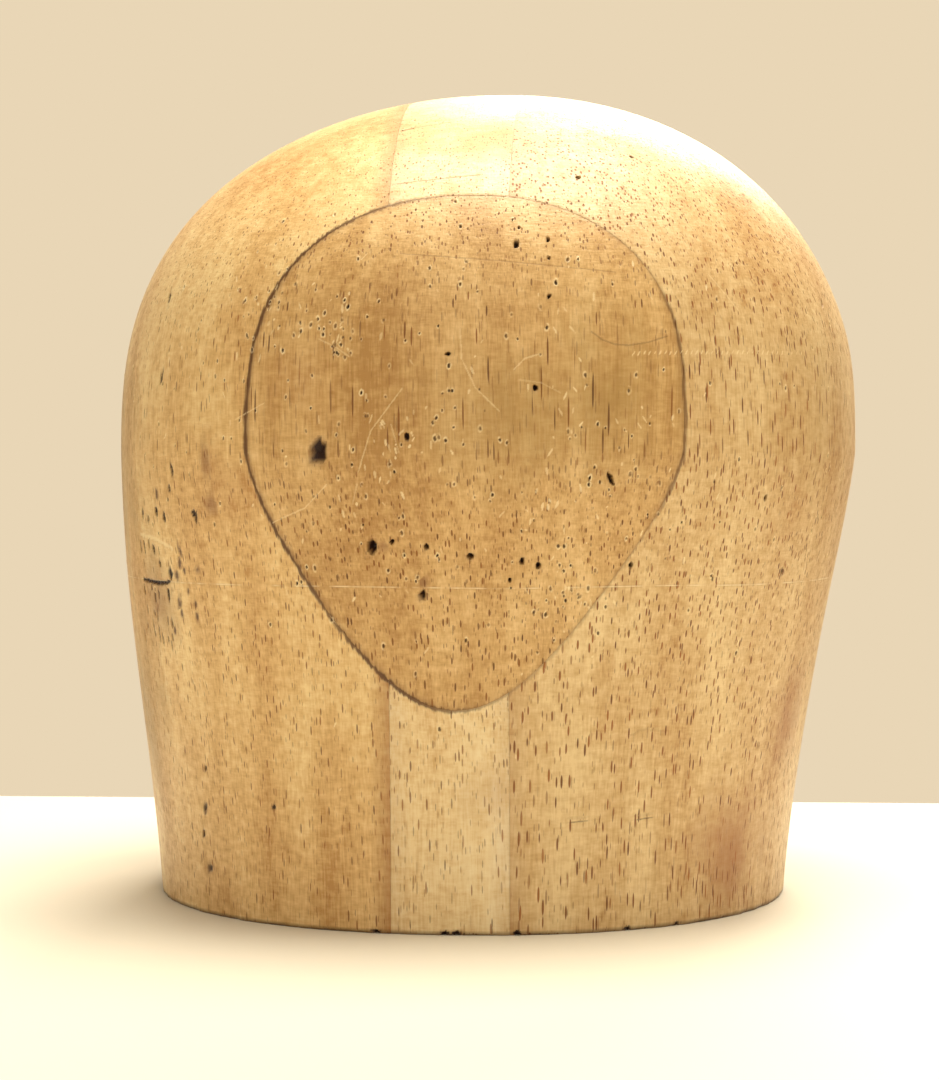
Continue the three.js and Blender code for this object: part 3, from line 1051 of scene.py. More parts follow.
PATTERNS = {
    "ripple": Pattern((0.45, 0.45, 2.3), 3.0, 0.6, in_grain=False),  # from sanding across the grain
    "streaks": Pattern((0.4, 0.4, 0.025)),
    "fibres": Pattern((2.4, 2.4, 0.16)),
    "flecks": Pattern((0.35, 0.35, 0.6), in_grain=False),
    "blotches": Pattern((0.03, 0.03, 0.026), in_grain=False),
    "cloud": Pattern((0.14, 0.14, 0.07), 4.0, in_grain=False),
    "line_wander": Pattern((0.02, 0.02, 0.0), 1.0, in_grain=False),
    "line_wear": Pattern((0.22, 0.22, 0.0), 3.0, in_grain=False),
    "ragged": Pattern((1.2, 1.2, 0.15), 3.0),
    "relief": Pattern((2.4, 2.4, 0.12), 3.0),
    "torn": Pattern((5.0, 5.0, 5.0), 3.0),
}
TONE_SHARES = {"bands": 0.9, "streaks": 0.45, "fibres": 0.68, "flecks": 0.7, "blotches": 0.75}
BESIDE_GLUE, IN_GLUE = "#9a6230", "#6a431e"  # brown wood beside the planks' glue lines, and the grime in them
BESIDE_OPEN, IN_OPEN, IN_CLOSED = "#7a5226", "#552f0e", "#6b4522"  # at the facing boards: browner beside the joint, a dark line where it has sprung, and a thin line all along
# painted contact shade: the wood darkens within about a millimetre of the table, and the whole flat underside
# with it
FOOT_PAINTED_SHADE = "#4a2f16"
SCRIBED_EDGE, SCRIBED_CORE = "#8f5f2c", "#f6e4ba"
# the last colour is near-black: grime in holes, pricks, cracks and chips, and painted shade of their depth; it
# also darkens knots, specks, hairlines, dents and the pencil stroke
SOFT_WOOD, FRESH_WOOD, HOLE_GRIME_AND_SHADE = "#7d481c", "#f7e3b4", "#2c1207"


@dataclass(frozen=True)
class Timber:
    """Open-pored hardwood, planed, sanded across the grain and darkened by hands and steam.

    Its vessels show as long brown lines where the surface runs with the grain, as short dashes where it leans
    across it and as dots on the dome. A thin old polish gives a soft, broad shine.
    """

    name: str
    light: str
    middle: str
    shadow: str
    vessel: str = "#a4652c"
    old_vessel: str = "#6f3d17"
    dash: Vessels = Vessels(0.78, 6.4, 0.50, 0.95, 0.10)
    speck: Vessels = Vessels(0.60, 4.0, 0.32, 0.50, 0.20)
    line: Vessels | None = None
    stains: tuple[Stain, ...] = ()
    band_width: float = 14.0  # mm
    ripple: float = 0.34  # how strongly the cross-sanding shows
    plank_line: float = 0.10
    plank_shade: float = 0.25
    plank_reach: float = 4.5 * MM
    facing_line: float = 0.85
    facing_shade: float = 0.5
    facing_reach: float = 1.0 * MM
    scribed: float = 74.3  # the height of the hatter's scribed line, in millimetres
    scribed_wander: float = 1.2
    seed: float = 0.0
    roughness: float = 0.42

    def material(self) -> Material:
        """Build the wood's nodes.

        Returns:
            The material.
        """
        made = bpy.data.materials.new(self.name)
        made.use_nodes = True
        tree = made.node_tree
        tree.nodes.clear()
        grain, place = self._grain(tree)
        noises = self._noises(tree, grain, place)
        tone = self._tone(tree, noises)
        colour = add(tree, "ShaderNodeValToRGB", [tone])
        ramp = colour.node.color_ramp
        ramp.elements[0].color = linear(self.shadow)
        ramp.elements[0].position = 0.12
        ramp.elements[1].color = linear(self.light)
        ramp.elements[1].position = 0.88
        ramp.elements.new(0.5).color = linear(self.middle)
        colour = self._stained(tree, colour, place, noises["cloud"])
        pores = None
        for vessels in (self.speck, self.dash, self.line):
            if vessels:
                shown, age = self._vessels(tree, grain, place, vessels)
                stain = add(tree, MIX, {0: age, MIX_A: linear(self.vessel), MIX_B: linear(self.old_vessel)},
                            out=MIX_OUT, data_type="RGBA")
                colour = layered(tree, colour, [(stain, shown)])
                pores = shown if pores is None else add(tree, MATH, [pores, shown], operation="MAXIMUM")
        colour = self._scribed(tree, colour, place, noises)
        colour = self._joints(tree, colour, place, noises["ragged"])
        colour, hole_grime_and_shade = self._marks(tree, colour)
        height = self._height(tree, pores, hole_grime_and_shade, noises)
        bump = add(tree, "ShaderNodeBump", {"Height": height, "Strength": 0.8, "Distance": 0.14 * MM})
        rough = add(tree, RANGE, {"Value": tone, "To Min": self.roughness + 0.08,
                                  "To Max": self.roughness - 0.04})
        rough = add(tree, MATH, [pores, 0.25, rough], operation="MULTIPLY_ADD")
        shader = add(tree, "ShaderNodeBsdfPrincipled", {
            "Base Color": colour, "Roughness": rough, "Normal": bump, "IOR": 1.5, "Coat Weight": 0.10,
            "Coat Roughness": 0.34,
        })
        add(tree, "ShaderNodeOutputMaterial", [shader])
        return made

    def _noises(self, tree: Tree, grain: Socket,
                place: Socket) -> dict[str, Socket]:
        """Make every noise in the wood, the growth bands among them.

        Args:
            tree: the wood's tree.
            grain: the coordinates along the grain.
            place: the plain ones.

        Returns:
            Each noise by its name.
        """
        bands = 1.0 / self.band_width
        found = {}
        for name, pattern in (PATTERNS | {"bands": Pattern((bands, bands, bands * 0.05))}).items():
            source = grain if pattern.in_grain else place
            rated = add(tree, VECTOR_MATH, [source, pattern.rate], operation="MULTIPLY")
            found[name] = add(tree, NOISE, {"Vector": rated, "Scale": 1.0, "Detail": pattern.detail,
                                            "Roughness": pattern.roughness})
        return found

    def _grain(self, tree: Tree) -> tuple[Socket, Socket]:
        """Make the wood's own coordinates in millimetres, with the grain's slow wander.

        Args:
            tree: the wood's tree.

        Returns:
            The coordinates along the grain, and the plain ones.
        """
        object_place = add(tree, "ShaderNodeTexCoord", out="Object")
        place = add(tree, VECTOR_MATH, {0: object_place, "Scale": 1000.0}, operation="SCALE")
        moved = add(tree, VECTOR_MATH, [place, (self.seed * 37.0, self.seed * 53.0, self.seed * 11.0)],
                    operation="ADD")
        slow = add(tree, VECTOR_MATH, [moved, (0.02, 0.02, 0.006)], operation="MULTIPLY")
        wander = add(tree, NOISE, {"Vector": slow, "Scale": 1.0, "Detail": 1.0}, out="Color")
        wander = add(tree, VECTOR_MATH, [wander, (9.0, 9.0, 0.0), (-4.5, -4.5, 0.0)],
                     operation="MULTIPLY_ADD")
        return add(tree, VECTOR_MATH, [moved, wander], operation="ADD"), place

    def _vessels(self, tree: Tree, grain: Socket, place: Socket,
                 vessels: Vessels) -> tuple[Socket, Socket]:
        """Lay out one size of vessel: a long grain-wise spindle in each cell of the wood.

        Args:
            tree: the wood's tree.
            grain: the coordinates along the grain.
            place: the plain ones.
            vessels: their spacing and size.

        Returns:
            How strongly it shows, and how dark with age it is, each from 0 to 1.
        """
        rate = (1 / vessels.gap, 1 / vessels.gap, 1 / vessels.length)
        room = add(tree, VECTOR_MATH, [grain, rate], operation="MULTIPLY")
        cell = add(tree, "ShaderNodeTexVoronoi", {"Vector": room, "Scale": 1.0}, out="Distance")
        radius = vessels.width / 2 / vessels.gap
        shape = add(tree, RANGE, {"Value": cell, "From Min": radius * 0.7, "From Max": radius,
                                  "To Min": vessels.strength, "To Max": 0.0}, interpolation_type="SMOOTHSTEP")
        chance = add(tree, "ShaderNodeSeparateColor", [cell.node.outputs["Color"]])
        there = add(tree, RANGE, {"Value": chance, "From Min": vessels.missing,
                                  "From Max": vessels.missing + 0.4})
        shown = add(tree, MATH, [shape, there], operation="MULTIPLY")
        if self.line:
            up = add(tree, "ShaderNodeSeparateXYZ", [place]).node.outputs["Z"]
            low, high = self.line.only
            rise = add(tree, RANGE, {"Value": up, "From Min": low - 8, "From Max": low + 8})
            fall = add(tree, RANGE, {"Value": up, "From Min": high + 8, "From Max": high - 8})
            zone = add(tree, MATH, [rise, fall], operation="MULTIPLY")
            if vessels is not self.line:
                zone = add(tree, MATH, [zone, -0.6, 1.0], operation="MULTIPLY_ADD")
            shown = add(tree, MATH, [shown, zone], operation="MULTIPLY")
        return shown, chance.node.outputs["Green"]

    def _stained(self, tree: Tree, colour: Socket, place: Socket,
                 cloud: Socket) -> Socket:
        """Lay each stain over the wood, with a cloudy edge.

        Args:
            tree: the wood's tree.
            colour: the wood's colour.
            place: its coordinates.
            cloud: the noise that breaks the edge.

        Returns:
            The colour.
        """
        for stain in self.stains:
            away = add(tree, VECTOR_MATH, [place, stain.middle], out="Value", operation="DISTANCE")
            spread = add(tree, MATH, [away, 1 / stain.reach, -0.65], operation="MULTIPLY_ADD")
            cloudy = add(tree, MATH, [cloud, -1.3, spread], operation="MULTIPLY_ADD")
            shown = add(tree, RANGE, {"Value": cloudy, "From Min": -1.2, "From Max": -0.35,
                                      "To Min": stain.strength, "To Max": 0.0})
            colour = layered(tree, colour, [(stain.colour, shown)])
        return colour

    def _tone(self, tree: Tree, noises: dict[str, Socket]) -> Socket:
        """Add growth bands, streaks, fibres, flecks and blotches up to one tone round a half.

        Args:
            tree: the wood's tree.
            noises: the noises by name.

        Returns:
            The tone.
        """
        total = add(tree, MATH, [noises["ripple"], self.ripple, 0.5 - self.ripple / 2],
                    operation="MULTIPLY_ADD")
        for name, share in TONE_SHARES.items():
            centred = add(tree, MATH, [noises[name], 0.5], operation="SUBTRACT")
            total = add(tree, MATH, [centred, share, total], operation="MULTIPLY_ADD")
        return total

    def _scribed(self, tree: Tree, colour: Socket, place: Socket,
                 noises: dict[str, Socket]) -> Socket:
        """Draw the level line scribed round the block for a hat's band: pale, thin, and worn away in places.

        Args:
            tree: the wood's tree.
            colour: the wood's colour.
            place: its coordinates.
            noises: the noises by name.

        Returns:
            The colour.
        """
        up = add(tree, "ShaderNodeSeparateXYZ", [place]).node.outputs["Z"]
        off = add(tree, MATH, [up, self.scribed + self.scribed_wander / 2], operation="SUBTRACT")
        off = add(tree, MATH, [noises["line_wander"], self.scribed_wander, off], operation="MULTIPLY_ADD")
        off = add(tree, MATH, [off], operation="ABSOLUTE")
        left = add(tree, RANGE, {"Value": noises["line_wear"], "From Min": 0.42, "From Max": 0.60})
        for reach, hue, share in ((0.42, SCRIBED_EDGE, 0.22), (0.20, SCRIBED_CORE, 0.6)):
            shown = add(tree, RANGE, {"Value": off, "From Min": reach / 2, "From Max": reach,
                                      "To Min": share, "To Max": 0.0})
            shown = add(tree, MATH, [shown, left], operation="MULTIPLY")
            colour = layered(tree, colour, [(hue, shown)])
        return colour

    def _joints(self, tree: Tree, colour: Socket, place: Socket,
                streaky: Socket) -> Socket:
        """Darken the glue lines and brown the wood beside them, and paint shade along the foot and over the
        underside.

        Args:
            tree: the wood's tree.
            colour: the wood's colour.
            place: its coordinates.
            streaky: the noise that makes the dirt ragged.

        Returns:
            The colour.
        """
        gaps = add(tree, "ShaderNodeAttribute", out="Vector", attribute_name="gaps")
        gap = add(tree, "ShaderNodeSeparateXYZ", [gaps]).node.outputs
        sprung = self._sprung(tree, place)
        ragged = add(tree, MATH, [streaky, 1.8 * MM, -0.95 * MM], operation="MULTIPLY_ADD")
        facings = add(tree, MATH, [gap["Y"], ragged], operation="ADD")
        streaks = add(tree, RANGE, {"Value": streaky, "From Min": 0.3, "From Max": 0.6, "To Min": 0.4,
                                    "To Max": self.plank_shade})
        streaks = add(tree, MATH, [streaks, self.plank_shade], operation="MINIMUM")
        open_shade = add(tree, MATH, [sprung, self.facing_shade], operation="MULTIPLY")
        open_line = add(tree, MATH, [sprung, self.facing_line], operation="MULTIPLY")
        layers = []
        for hue, distance, start, end, bend, share in (
            (BESIDE_GLUE, gap["X"], 0.0, self.plank_reach, 0.8, streaks),
            (IN_GLUE, gap["X"], 0.0, 0.22 * MM, 1.0, self.plank_line),
            (BESIDE_OPEN, facings, 0.0, self.facing_reach, 2.0, open_shade),
            (IN_OPEN, facings, 0.15 * MM, 0.55 * MM, 1.0, open_line),
            (IN_CLOSED, gap["Y"], 0.0, 0.2 * MM, 0.7, 0.2),
            # painted contact shade along the foot and over the underside
            (FOOT_PAINTED_SHADE, gap["Z"], 0.1 * MM, 1.1 * MM, 1.0, 0.75),
        ):
            close = add(tree, RANGE, {"Value": distance, "From Min": start, "From Max": end, "To Min": 1.0,
                                      "To Max": 0.0})
            close = add(tree, MATH, [close, bend], operation="POWER")
            layers.append((hue, add(tree, MATH, [close, share], operation="MULTIPLY")))
        return layered(tree, colour, layers)

    def _sprung(self, tree: Tree, place: Socket) -> Socket:
        """Find where the facing's joint has sprung: on the left, at the oval's foot, a little on the right.

        Args:
            tree: the wood's tree.
            place: its coordinates.

        Returns:
            How far it has sprung, from 0 to 1.
        """
        spot = add(tree, "ShaderNodeSeparateXYZ", [place]).node.outputs
        leftward, rightward, low, middle = (
            add(tree, RANGE, {"Value": spot[axis], "From Min": near, "From Max": far, "To Min": start,
                              "To Max": end})
            for axis, near, far, start, end in (
                ("X", 0.0, -36.0, 0.2, 1.0), ("X", 38.0, 44.0, 0.0, 0.6),
                ("Z", 84.0, 60.0, 0.0, 1.0), ("X", 12.0, -12.0, 0.0, 1.0))
        )
        low = add(tree, MATH, [low, middle], operation="MULTIPLY")
        lower = add(tree, MATH, [rightward, low], operation="MAXIMUM")
        return add(tree, MATH, [leftward, lower], operation="MAXIMUM")

    def _marks(self, tree: Tree,
               colour: Socket) -> tuple[Socket, Socket]:
        """Lay brown in the soft spots, cream on torn rims and fresh scratches, and black in the holes: grime,
        and painted shade of their depth.

        Args:
            tree: the wood's tree.
            colour: the wood's colour.

        Returns:
            The colour, and how dark the marks are painted.
        """
        marked = add(tree, "ShaderNodeAttribute", out="Vector", attribute_name="marked")
        mark = add(tree, "ShaderNodeSeparateXYZ", [marked]).node.outputs
        brown = add(tree, MATH, [mark["Z"], 0.75], operation="MULTIPLY", use_clamp=True)
        fresh = add(tree, MATH, [mark["X"], -1.0], operation="MULTIPLY", use_clamp=True)
        pale = add(tree, MATH, [mark["Y"], 0.85, fresh], operation="MULTIPLY_ADD", use_clamp=True)
        # how dark each mark is painted: grime, and painted shade in the holes and cracks
        dark = add(tree, MATH, [mark["X"], 1.0], operation="MULTIPLY", use_clamp=True)
        return layered(tree, colour, [(SOFT_WOOD, brown), (FRESH_WOOD, pale), (HOLE_GRIME_AND_SHADE, dark)]), dark

    def _height(self, tree: Tree, pores: Socket, hole_grime_and_shade: Socket,
                noises: dict[str, Socket]) -> Socket:
        """Make the fine relief: open vessels, sanding ripples, fibres and torn wood inside the holes.

        Args:
            tree: the wood's tree.
            pores: how strongly the vessels show.
            hole_grime_and_shade: how dark the holes are.
            noises: the noises by name.

        Returns:
            The height.
        """
        torn = add(tree, MATH, [noises["torn"], hole_grime_and_shade], operation="MULTIPLY")
        height = add(tree, MATH, [noises["relief"], 0.4, torn], operation="MULTIPLY_ADD")
        for value, share in ((noises["ripple"], 0.8), (pores, -0.8)):
            height = add(tree, MATH, [value, share, height], operation="MULTIPLY_ADD")
        return height


@dataclass(frozen=True)
class BareIron:
    """Rolled iron or steel left bare: brown-grey oxide, bright where it rubs, with rust freckles."""

    name: str
    bright: str
    oxide: str
    rust: str = "#6d3b1c"
    rust_share: float = 0.35
    roughness: float = 0.42
    seed: float = 0.0

    def material(self) -> Material:
        """Build the metal's nodes.

        Returns:
            The material.
        """
        made = bpy.data.materials.new(self.name)
        made.use_nodes = True
        tree = made.node_tree
        tree.nodes.clear()
        place = add(tree, VECTOR_MATH, {0: add(tree, "ShaderNodeTexCoord", out="Object"), "Scale": 1000.0},
                    operation="SCALE")
        place = add(tree, VECTOR_MATH, [place, (self.seed * 19.0, self.seed * 7.0, 0.0)], operation="ADD")
        film = add(tree, NOISE, {"Vector": place, "Scale": 0.16, "Detail": 5.0})
        film = add(tree, RANGE, {"Value": film, "From Min": 0.38, "From Max": 0.62})
        grit = add(tree, NOISE, {"Vector": place, "Scale": 1.4, "Detail": 4.0})
        freckle = add(tree, RANGE, {"Value": grit, "From Min": 0.55, "From Max": 0.66,
                                    "To Max": self.rust_share})
        along = add(tree, VECTOR_MATH, [place, (0.2, 5.0, 0.2)], operation="MULTIPLY")
        lines = add(tree, NOISE, {"Vector": along, "Scale": 1.0, "Detail": 2.0})
        colour = layered(tree, linear(self.bright), [(self.oxide, film), (self.rust, freckle)])
        metal = add(tree, RANGE, {"Value": freckle, "From Max": self.rust_share, "To Min": 1.0,
                                  "To Max": 0.25})
        rough = add(tree, RANGE, {"Value": film, "To Min": self.roughness - 0.08,
                                  "To Max": self.roughness + 0.18})
        height = add(tree, MATH, [grit, 0.5, lines], operation="MULTIPLY_ADD")
        bump = add(tree, "ShaderNodeBump", {"Height": height, "Strength": 0.5, "Distance": 0.06 * MM})
        shader = add(tree, "ShaderNodeBsdfPrincipled",
                     {"Base Color": colour, "Metallic": metal, "Roughness": rough, "Normal": bump})
        add(tree, "ShaderNodeOutputMaterial", [shader])
        return made


@dataclass(frozen=True)
class Matt:
    """An even, matt studio surface."""

    name: str
    colour: str
    roughness: float = 0.6
    shine: float = 0.12

    def material(self) -> Material:
        """Build the surface's nodes.

        Returns:
            The material.
        """
        made = bpy.data.materials.new(self.name)
        made.use_nodes = True
        shader = made.node_tree.nodes["Principled BSDF"]
        shader.inputs["Base Color"].default_value = linear(self.colour)
        shader.inputs["Roughness"].default_value = self.roughness
        shader.inputs["Specular IOR Level"].default_value = self.shine
        return made


@dataclass(frozen=True)
class Glow:
    """A plain wall that is evenly bright, whatever stands before it."""

    name: str
    colour: str
    strength: float

    def material(self) -> Material:
        """Build the wall's nodes.

        Returns:
            The material.
        """
        made = bpy.data.materials.new(self.name)
        made.use_nodes = True
        tree = made.node_tree
        tree.nodes.clear()
        glow = add(tree, "ShaderNodeEmission", [linear(self.colour), self.strength])
        add(tree, "ShaderNodeOutputMaterial", [glow])
        return made


# -------------------------------------------------------------------------------------- the boards

@dataclass
class Boards:
    """The five glued-up boards of the block, cut from the one form."""

    form: CarvedForm
    wear: Wear
    glue_gap: float = 0.02 * MM
    past: float = 5 * MM
    socket_depth: float = 70 * MM
    fit: float = 0.3 * MM
    open_joint: float = 0.06 * MM  # how wide the front joint has sprung on its left
    sharp: float = math.radians(50)
    bend_steps: int = 64
    bore: float = 11.3 * MM
    bore_sides: int = 128
    pilot: float = 2.1 * MM
    pilot_sides: int = 24

    def __post_init__(self) -> None:
        """Pair each board with a slot name and its wood."""
        old_brown, olive, rot = "#a3692f", "#a98649", "#8f5a22"
        self.timbers = {
            "left_plank": ("plank_wood_left", Timber(
                "plank hardwood, left", "#f0d59c", "#deb87b", "#bf9052", seed=1.0, plank_shade=0.55,
                dash=Vessels(0.85, 6.0, 0.44, 0.8, 0.22), speck=Vessels(0.60, 3.8, 0.30, 0.5, 0.25),
                stains=(Stain((-70, -52, 69), 13, rot, 0.6), Stain((-49, -75, 97), 14, old_brown, 0.40),
                        # the two strong olive stains at the left edge, at x -84 and -78, are olive staining
                        # and also painted shade that darkens that side
                        Stain((-84, -24, 98), 36, olive, 0.8), Stain((-62, -54, 104), 8, old_brown, 0.40),
                        Stain((-78, -32, 45), 26, olive, 0.8),
                        Stain((-78, 20, 40), 22, olive, 0.35), Stain((-60, 50, 90), 26, old_brown, 0.3)))),
            "centre_strip": ("strip_wood", Timber(
                "strip hardwood", "#f8e6be", "#edd3a0", "#d8b076", seed=2.0, plank_shade=0.2,
                dash=Vessels(0.82, 6.0, 0.46, 0.75, 0.25),
                stains=(Stain((6, -86, 30), 9, old_brown, 0.25), Stain((2, -70, 168), 30, "#cf9650", 0.8)))),
            "right_plank": ("plank_wood_right", Timber(
                "plank hardwood, right", "#e9cf9c", "#d5b37d", "#bb8e54", seed=3.0, plank_shade=0.3,
                stains=(Stain((57, -52, 16), 20, old_brown, 0.75), Stain((73, -36, 43), 15, old_brown, 0.60),
                        Stain((76, -48, 112), 32, olive, 0.30), Stain((82, 30, 90), 30, olive, 0.3),
                        Stain((40, 66, 40), 20, old_brown, 0.3)))),
            "front_board": ("facing_wood", Timber(
                "facing hardwood, front", "#e6c58c", "#cfa76b", "#b18548", seed=4.0, band_width=10.0,
                facing_shade=0.75, facing_reach=2.4 * MM,
                vessel="#92581f", old_vessel="#5e3412", dash=Vessels(0.78, 6.4, 0.46, 0.9, 0.15),
                line=Vessels(1.15, 23.0, 0.46, 0.9, 0.0, (98.0, 142.0)),
                stains=(Stain((30, -92, 112), 22, olive, 0.65), Stain((4, -97, 108), 20, olive, 0.50),
                        Stain((-34, -90, 118), 12, old_brown, 0.25)))),
            "rear_board": ("facing_wood", Timber(
                "facing hardwood, rear", "#dcbb82", "#c69e62", "#a97f46", seed=5.0, band_width=11.0,
                stains=(Stain((20, 90, 120), 22, olive, 0.30), Stain((-24, 92, 70), 18, old_brown, 0.3)))),
        }

    def build(self) -> list[Object]:
        """Cut, wear and dress every board.

        Returns:
            The boards.
        """
        whole = piece("form", self.form.mesh)
        below = self._underside()
        made = []
        for name, (slot, timber) in self.timbers.items():
            room = self._room(name)
            mesh = cut(name, whole, [("INTERSECT", room), ("DIFFERENCE", below)])
            worn = self.wear.work(name, mesh, timber.material())
            worn.set_sharp_from_angle(angle=self.sharp)
            board = piece(name, worn)
            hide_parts(name)
            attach(board, BODY)
            LOG.info("%s: %d faces", name, len(worn.polygons))
            made.append(board)
            bpy.data.objects.remove(room)
        bpy.data.objects.remove(whole)
        bpy.data.objects.remove(below)
        return made

    def _room(self, name: str) -> Object:
        """Make the upright slab that one board fills, clear of its neighbours by half a glue line.

        Args:
            name: the board.

        Returns:
            The slab.
        """
        half = self.glue_gap / 2
        (left, right), (front, rear) = self.form.seam_x, self.form.seam_y
        far = 2 * self.form.height
        x0, x1, y0, y1 = {
            "left_plank": (-far, left - half, front + half, rear - half),
            "centre_strip": (left + half, right - half, front + half, rear - half),
            "right_plank": (right + half, far, front + half, rear - half),
            "front_board": (-far, far, -far, front - half),
            "rear_board": (-far, far, rear + half, far),
        }[name]
        shape = block_of((x0, y0, -self.past), (x1, y1, self.form.height + self.past))
        if name == "front_board":
            self._spring(shape, y1)
        return solid(f"{name}_room", shape)

    def _spring(self, shape: bmesh.types.BMesh, joint: float) -> None:
        """Bend the joint face of the front board's slab away from the planks where the joint has opened.

        Args:
            shape: the slab.
            joint: where its joint face lies.
        """
        cuts = (("X", -70 * MM, 70 * MM), ("Z", 40 * MM, 165 * MM))
        for axis, low, high in cuts:
            way = Vector((1, 0, 0)) if axis == "X" else Vector((0, 0, 1))
            for step in range(self.bend_steps + 1):
                place = way * (low + (high - low) * step / self.bend_steps)
                bmesh.ops.bisect_plane(shape, geom=shape.verts[:] + shape.edges[:] + shape.faces[:],
                                       plane_co=place, plane_no=way, dist=1e-7)
        for vertex in shape.verts:
            if abs(vertex.co.y - joint) < 1e-6:
                vertex.co.y -= self._opening(vertex.co.x, vertex.co.z)

    def _opening(self, x: float, z: float) -> float:
        """Find how far the front joint has opened: most on the left and at the foot of the oval.

        Args:
            x: the place across.
            z: its height.

        Returns:
            The opening.
        """
        if abs(x) > 69 * MM or not 41 * MM < z < 164 * MM:
            return 0.0
        leftward = min(max(-x / (38 * MM), 0.0), 1.0)
        low = min(max((95 * MM - z) / (40 * MM), 0.0), 1.0)
        ragged = 0.6 + 0.4 * math.sin(x * 900) * math.sin(z * 1300 + 1)
        return self.open_joint * max(leftward * (0.55 + 0.45 * low), 0.5 * low) * ragged

    def _underside(self) -> Object:
        """Make what is cut away below: the plate's recess, the socket's bore and the screws' pilot holes.

        Returns:
            The cutter.
        """
        low, high = (Vector(corner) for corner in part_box("socket_plate"))
        middle = (low + high) / 2
        radius = (high.x - low.x) / 2 + self.fit
        floor = high.z + self.fit
        profile = [(0, -self.past), (radius, -self.past), (radius, floor), (self.bore, floor),
                   (self.bore, self.socket_depth), (0, self.socket_depth)]
        cutter = solid("underside", turned(profile, middle.x, middle.y, self.bore_sides))
        for index in range(1, SCREWS + 1):
            low, high = (Vector(corner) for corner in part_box(f"plate_screw_{index}"))
            centre = (low + high) / 2
            wall = [(0, 0), (self.pilot, 0), (self.pilot, high.z + self.fit), (0, high.z + 1 * MM)]
            hole = solid("pilot", turned(wall, centre.x, centre.y, self.pilot_sides))
            mesh = cut("underside", cutter, [("UNION", hole)])
            old = cutter
            cutter = piece("underside", mesh)
            bpy.data.objects.remove(old)
            bpy.data.objects.remove(hole)
        return cutter


# ------------------------------------------------------------------------------ the socket's plate

@dataclass
class SocketPlate:
    """The round iron plate let into the underside, with its bore and its countersunk screw holes."""

    bore: float = 11 * MM
    chamfer: float = 0.35 * MM
    head_radius: float = 4.3 * MM
    shank_radius: float = 2.1 * MM
    head_depth: float = 2.2 * MM
    sides: int = 128

    def build(self) -> Object:
        """Turn the plate, drill it and dress it.

        Returns:
            The plate.
        """
        low, high = (Vector(corner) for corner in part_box("socket_plate"))
        middle, radius = (low + high) / 2, (high.x - low.x) / 2
        ease = self.chamfer
        ring = [(self.bore + ease, low.z), (radius - ease, low.z), (radius - ease * 0.3, low.z + ease * 0.3),
                (radius, low.z + ease), (radius, high.z), (self.bore, high.z), (self.bore, low.z + ease),
                (self.bore + ease * 0.3, low.z + ease * 0.3), (self.bore + ease, low.z)]
        plate = solid("plate_blank", turned(ring, middle.x, middle.y, self.sides))
        steps = []
        for index in range(1, SCREWS + 1):
            a, b = (Vector(corner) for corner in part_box(f"plate_screw_{index}"))
            profile = [(0, low.z - 1 * MM), (self.head_radius + 1 * MM, low.z - 1 * MM),
                       (self.head_radius, low.z + 0.01 * MM), (self.shank_radius, low.z + self.head_depth),
                       (self.shank_radius, high.z + 1 * MM), (0, high.z + 1 * MM)]
            steps.append(("DIFFERENCE", solid("sink", turned(profile, (a.x + b.x) / 2, (a.y + b.y) / 2, 48))))
        mesh = cut("socket_plate", plate, steps)
        mesh.materials.clear()
        mesh.materials.append(BareIron("bare rolled iron", "#837c73", "#655d55").material())
        mesh.set_sharp_from_angle(angle=math.radians(30))
        for made in [plate] + [sink for _, sink in steps]:
            bpy.data.objects.remove(made)
        made = piece("socket_plate", mesh)
        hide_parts("socket_plate")
        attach(made, BODY)
        return made


@dataclass
class PlateScrew:
    """One countersunk wood screw with a slot, a threaded shank and a gimlet point."""

    number: int
    slot_angle: float
    head_radius: float = 3.9 * MM
    head_depth: float = 2.2 * MM
    core_radius: float = 1.25 * MM
    shank_radius: float = 1.75 * MM
    slot_width: float = 1 * MM
    slot_depth: float = 1 * MM
    pitch: float = 1.4 * MM
    sides: int = 48

    def build(self, material: Material) -> Object:
        """Turn the screw, cut its slot and dress it.

        Args:
            material: the screws' steel.

        Returns:
            The screw.
        """
        name = f"plate_screw_{self.number}"
        low, high = (Vector(corner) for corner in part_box(name))
        x, y = (low.x + high.x) / 2, (low.y + high.y) / 2
        head = low.z + self.head_depth
        profile = [(0, low.z), (self.head_radius - 0.25 * MM, low.z), (self.head_radius, low.z + 0.15 * MM),
                   (self.shank_radius, head), (self.shank_radius, head + 3 * MM)]
        threads = int((high.z - 4 * MM - head - 3 * MM) / self.pitch)
        for turn in range(threads):
            base = head + 3 * MM + turn * self.pitch
            profile += [
                (self.core_radius, base + self.pitch * 0.3),
                (self.core_radius, base + self.pitch * 0.55),
                (self.shank_radius, base + self.pitch * 0.8),
            ]
        profile += [(self.core_radius, high.z - 3.4 * MM), (0.4 * MM, high.z - 0.6 * MM), (0, high.z)]
        blank = solid("screw_blank", turned(profile, x, y, self.sides))
        slot = block_of((-2 * self.head_radius, -self.slot_width / 2, -self.slot_depth),
                        (2 * self.head_radius, self.slot_width / 2, self.slot_depth))
        turn = Matrix.Translation((x, y, low.z)) @ Matrix.Rotation(self.slot_angle, 4, "Z")
        bmesh.ops.transform(slot, matrix=turn, verts=slot.verts)
        knife = solid("slot", slot)
        mesh = cut(name, blank, [("DIFFERENCE", knife)])
        mesh.materials.clear()
        mesh.materials.append(material)
        mesh.set_sharp_from_angle(angle=math.radians(30))
        bpy.data.objects.remove(blank)
        bpy.data.objects.remove(knife)
        made = piece(name, mesh)
        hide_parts(name)
        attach(made, BODY)
        return made


# -------------------------------------------------------------------------------------- the studio

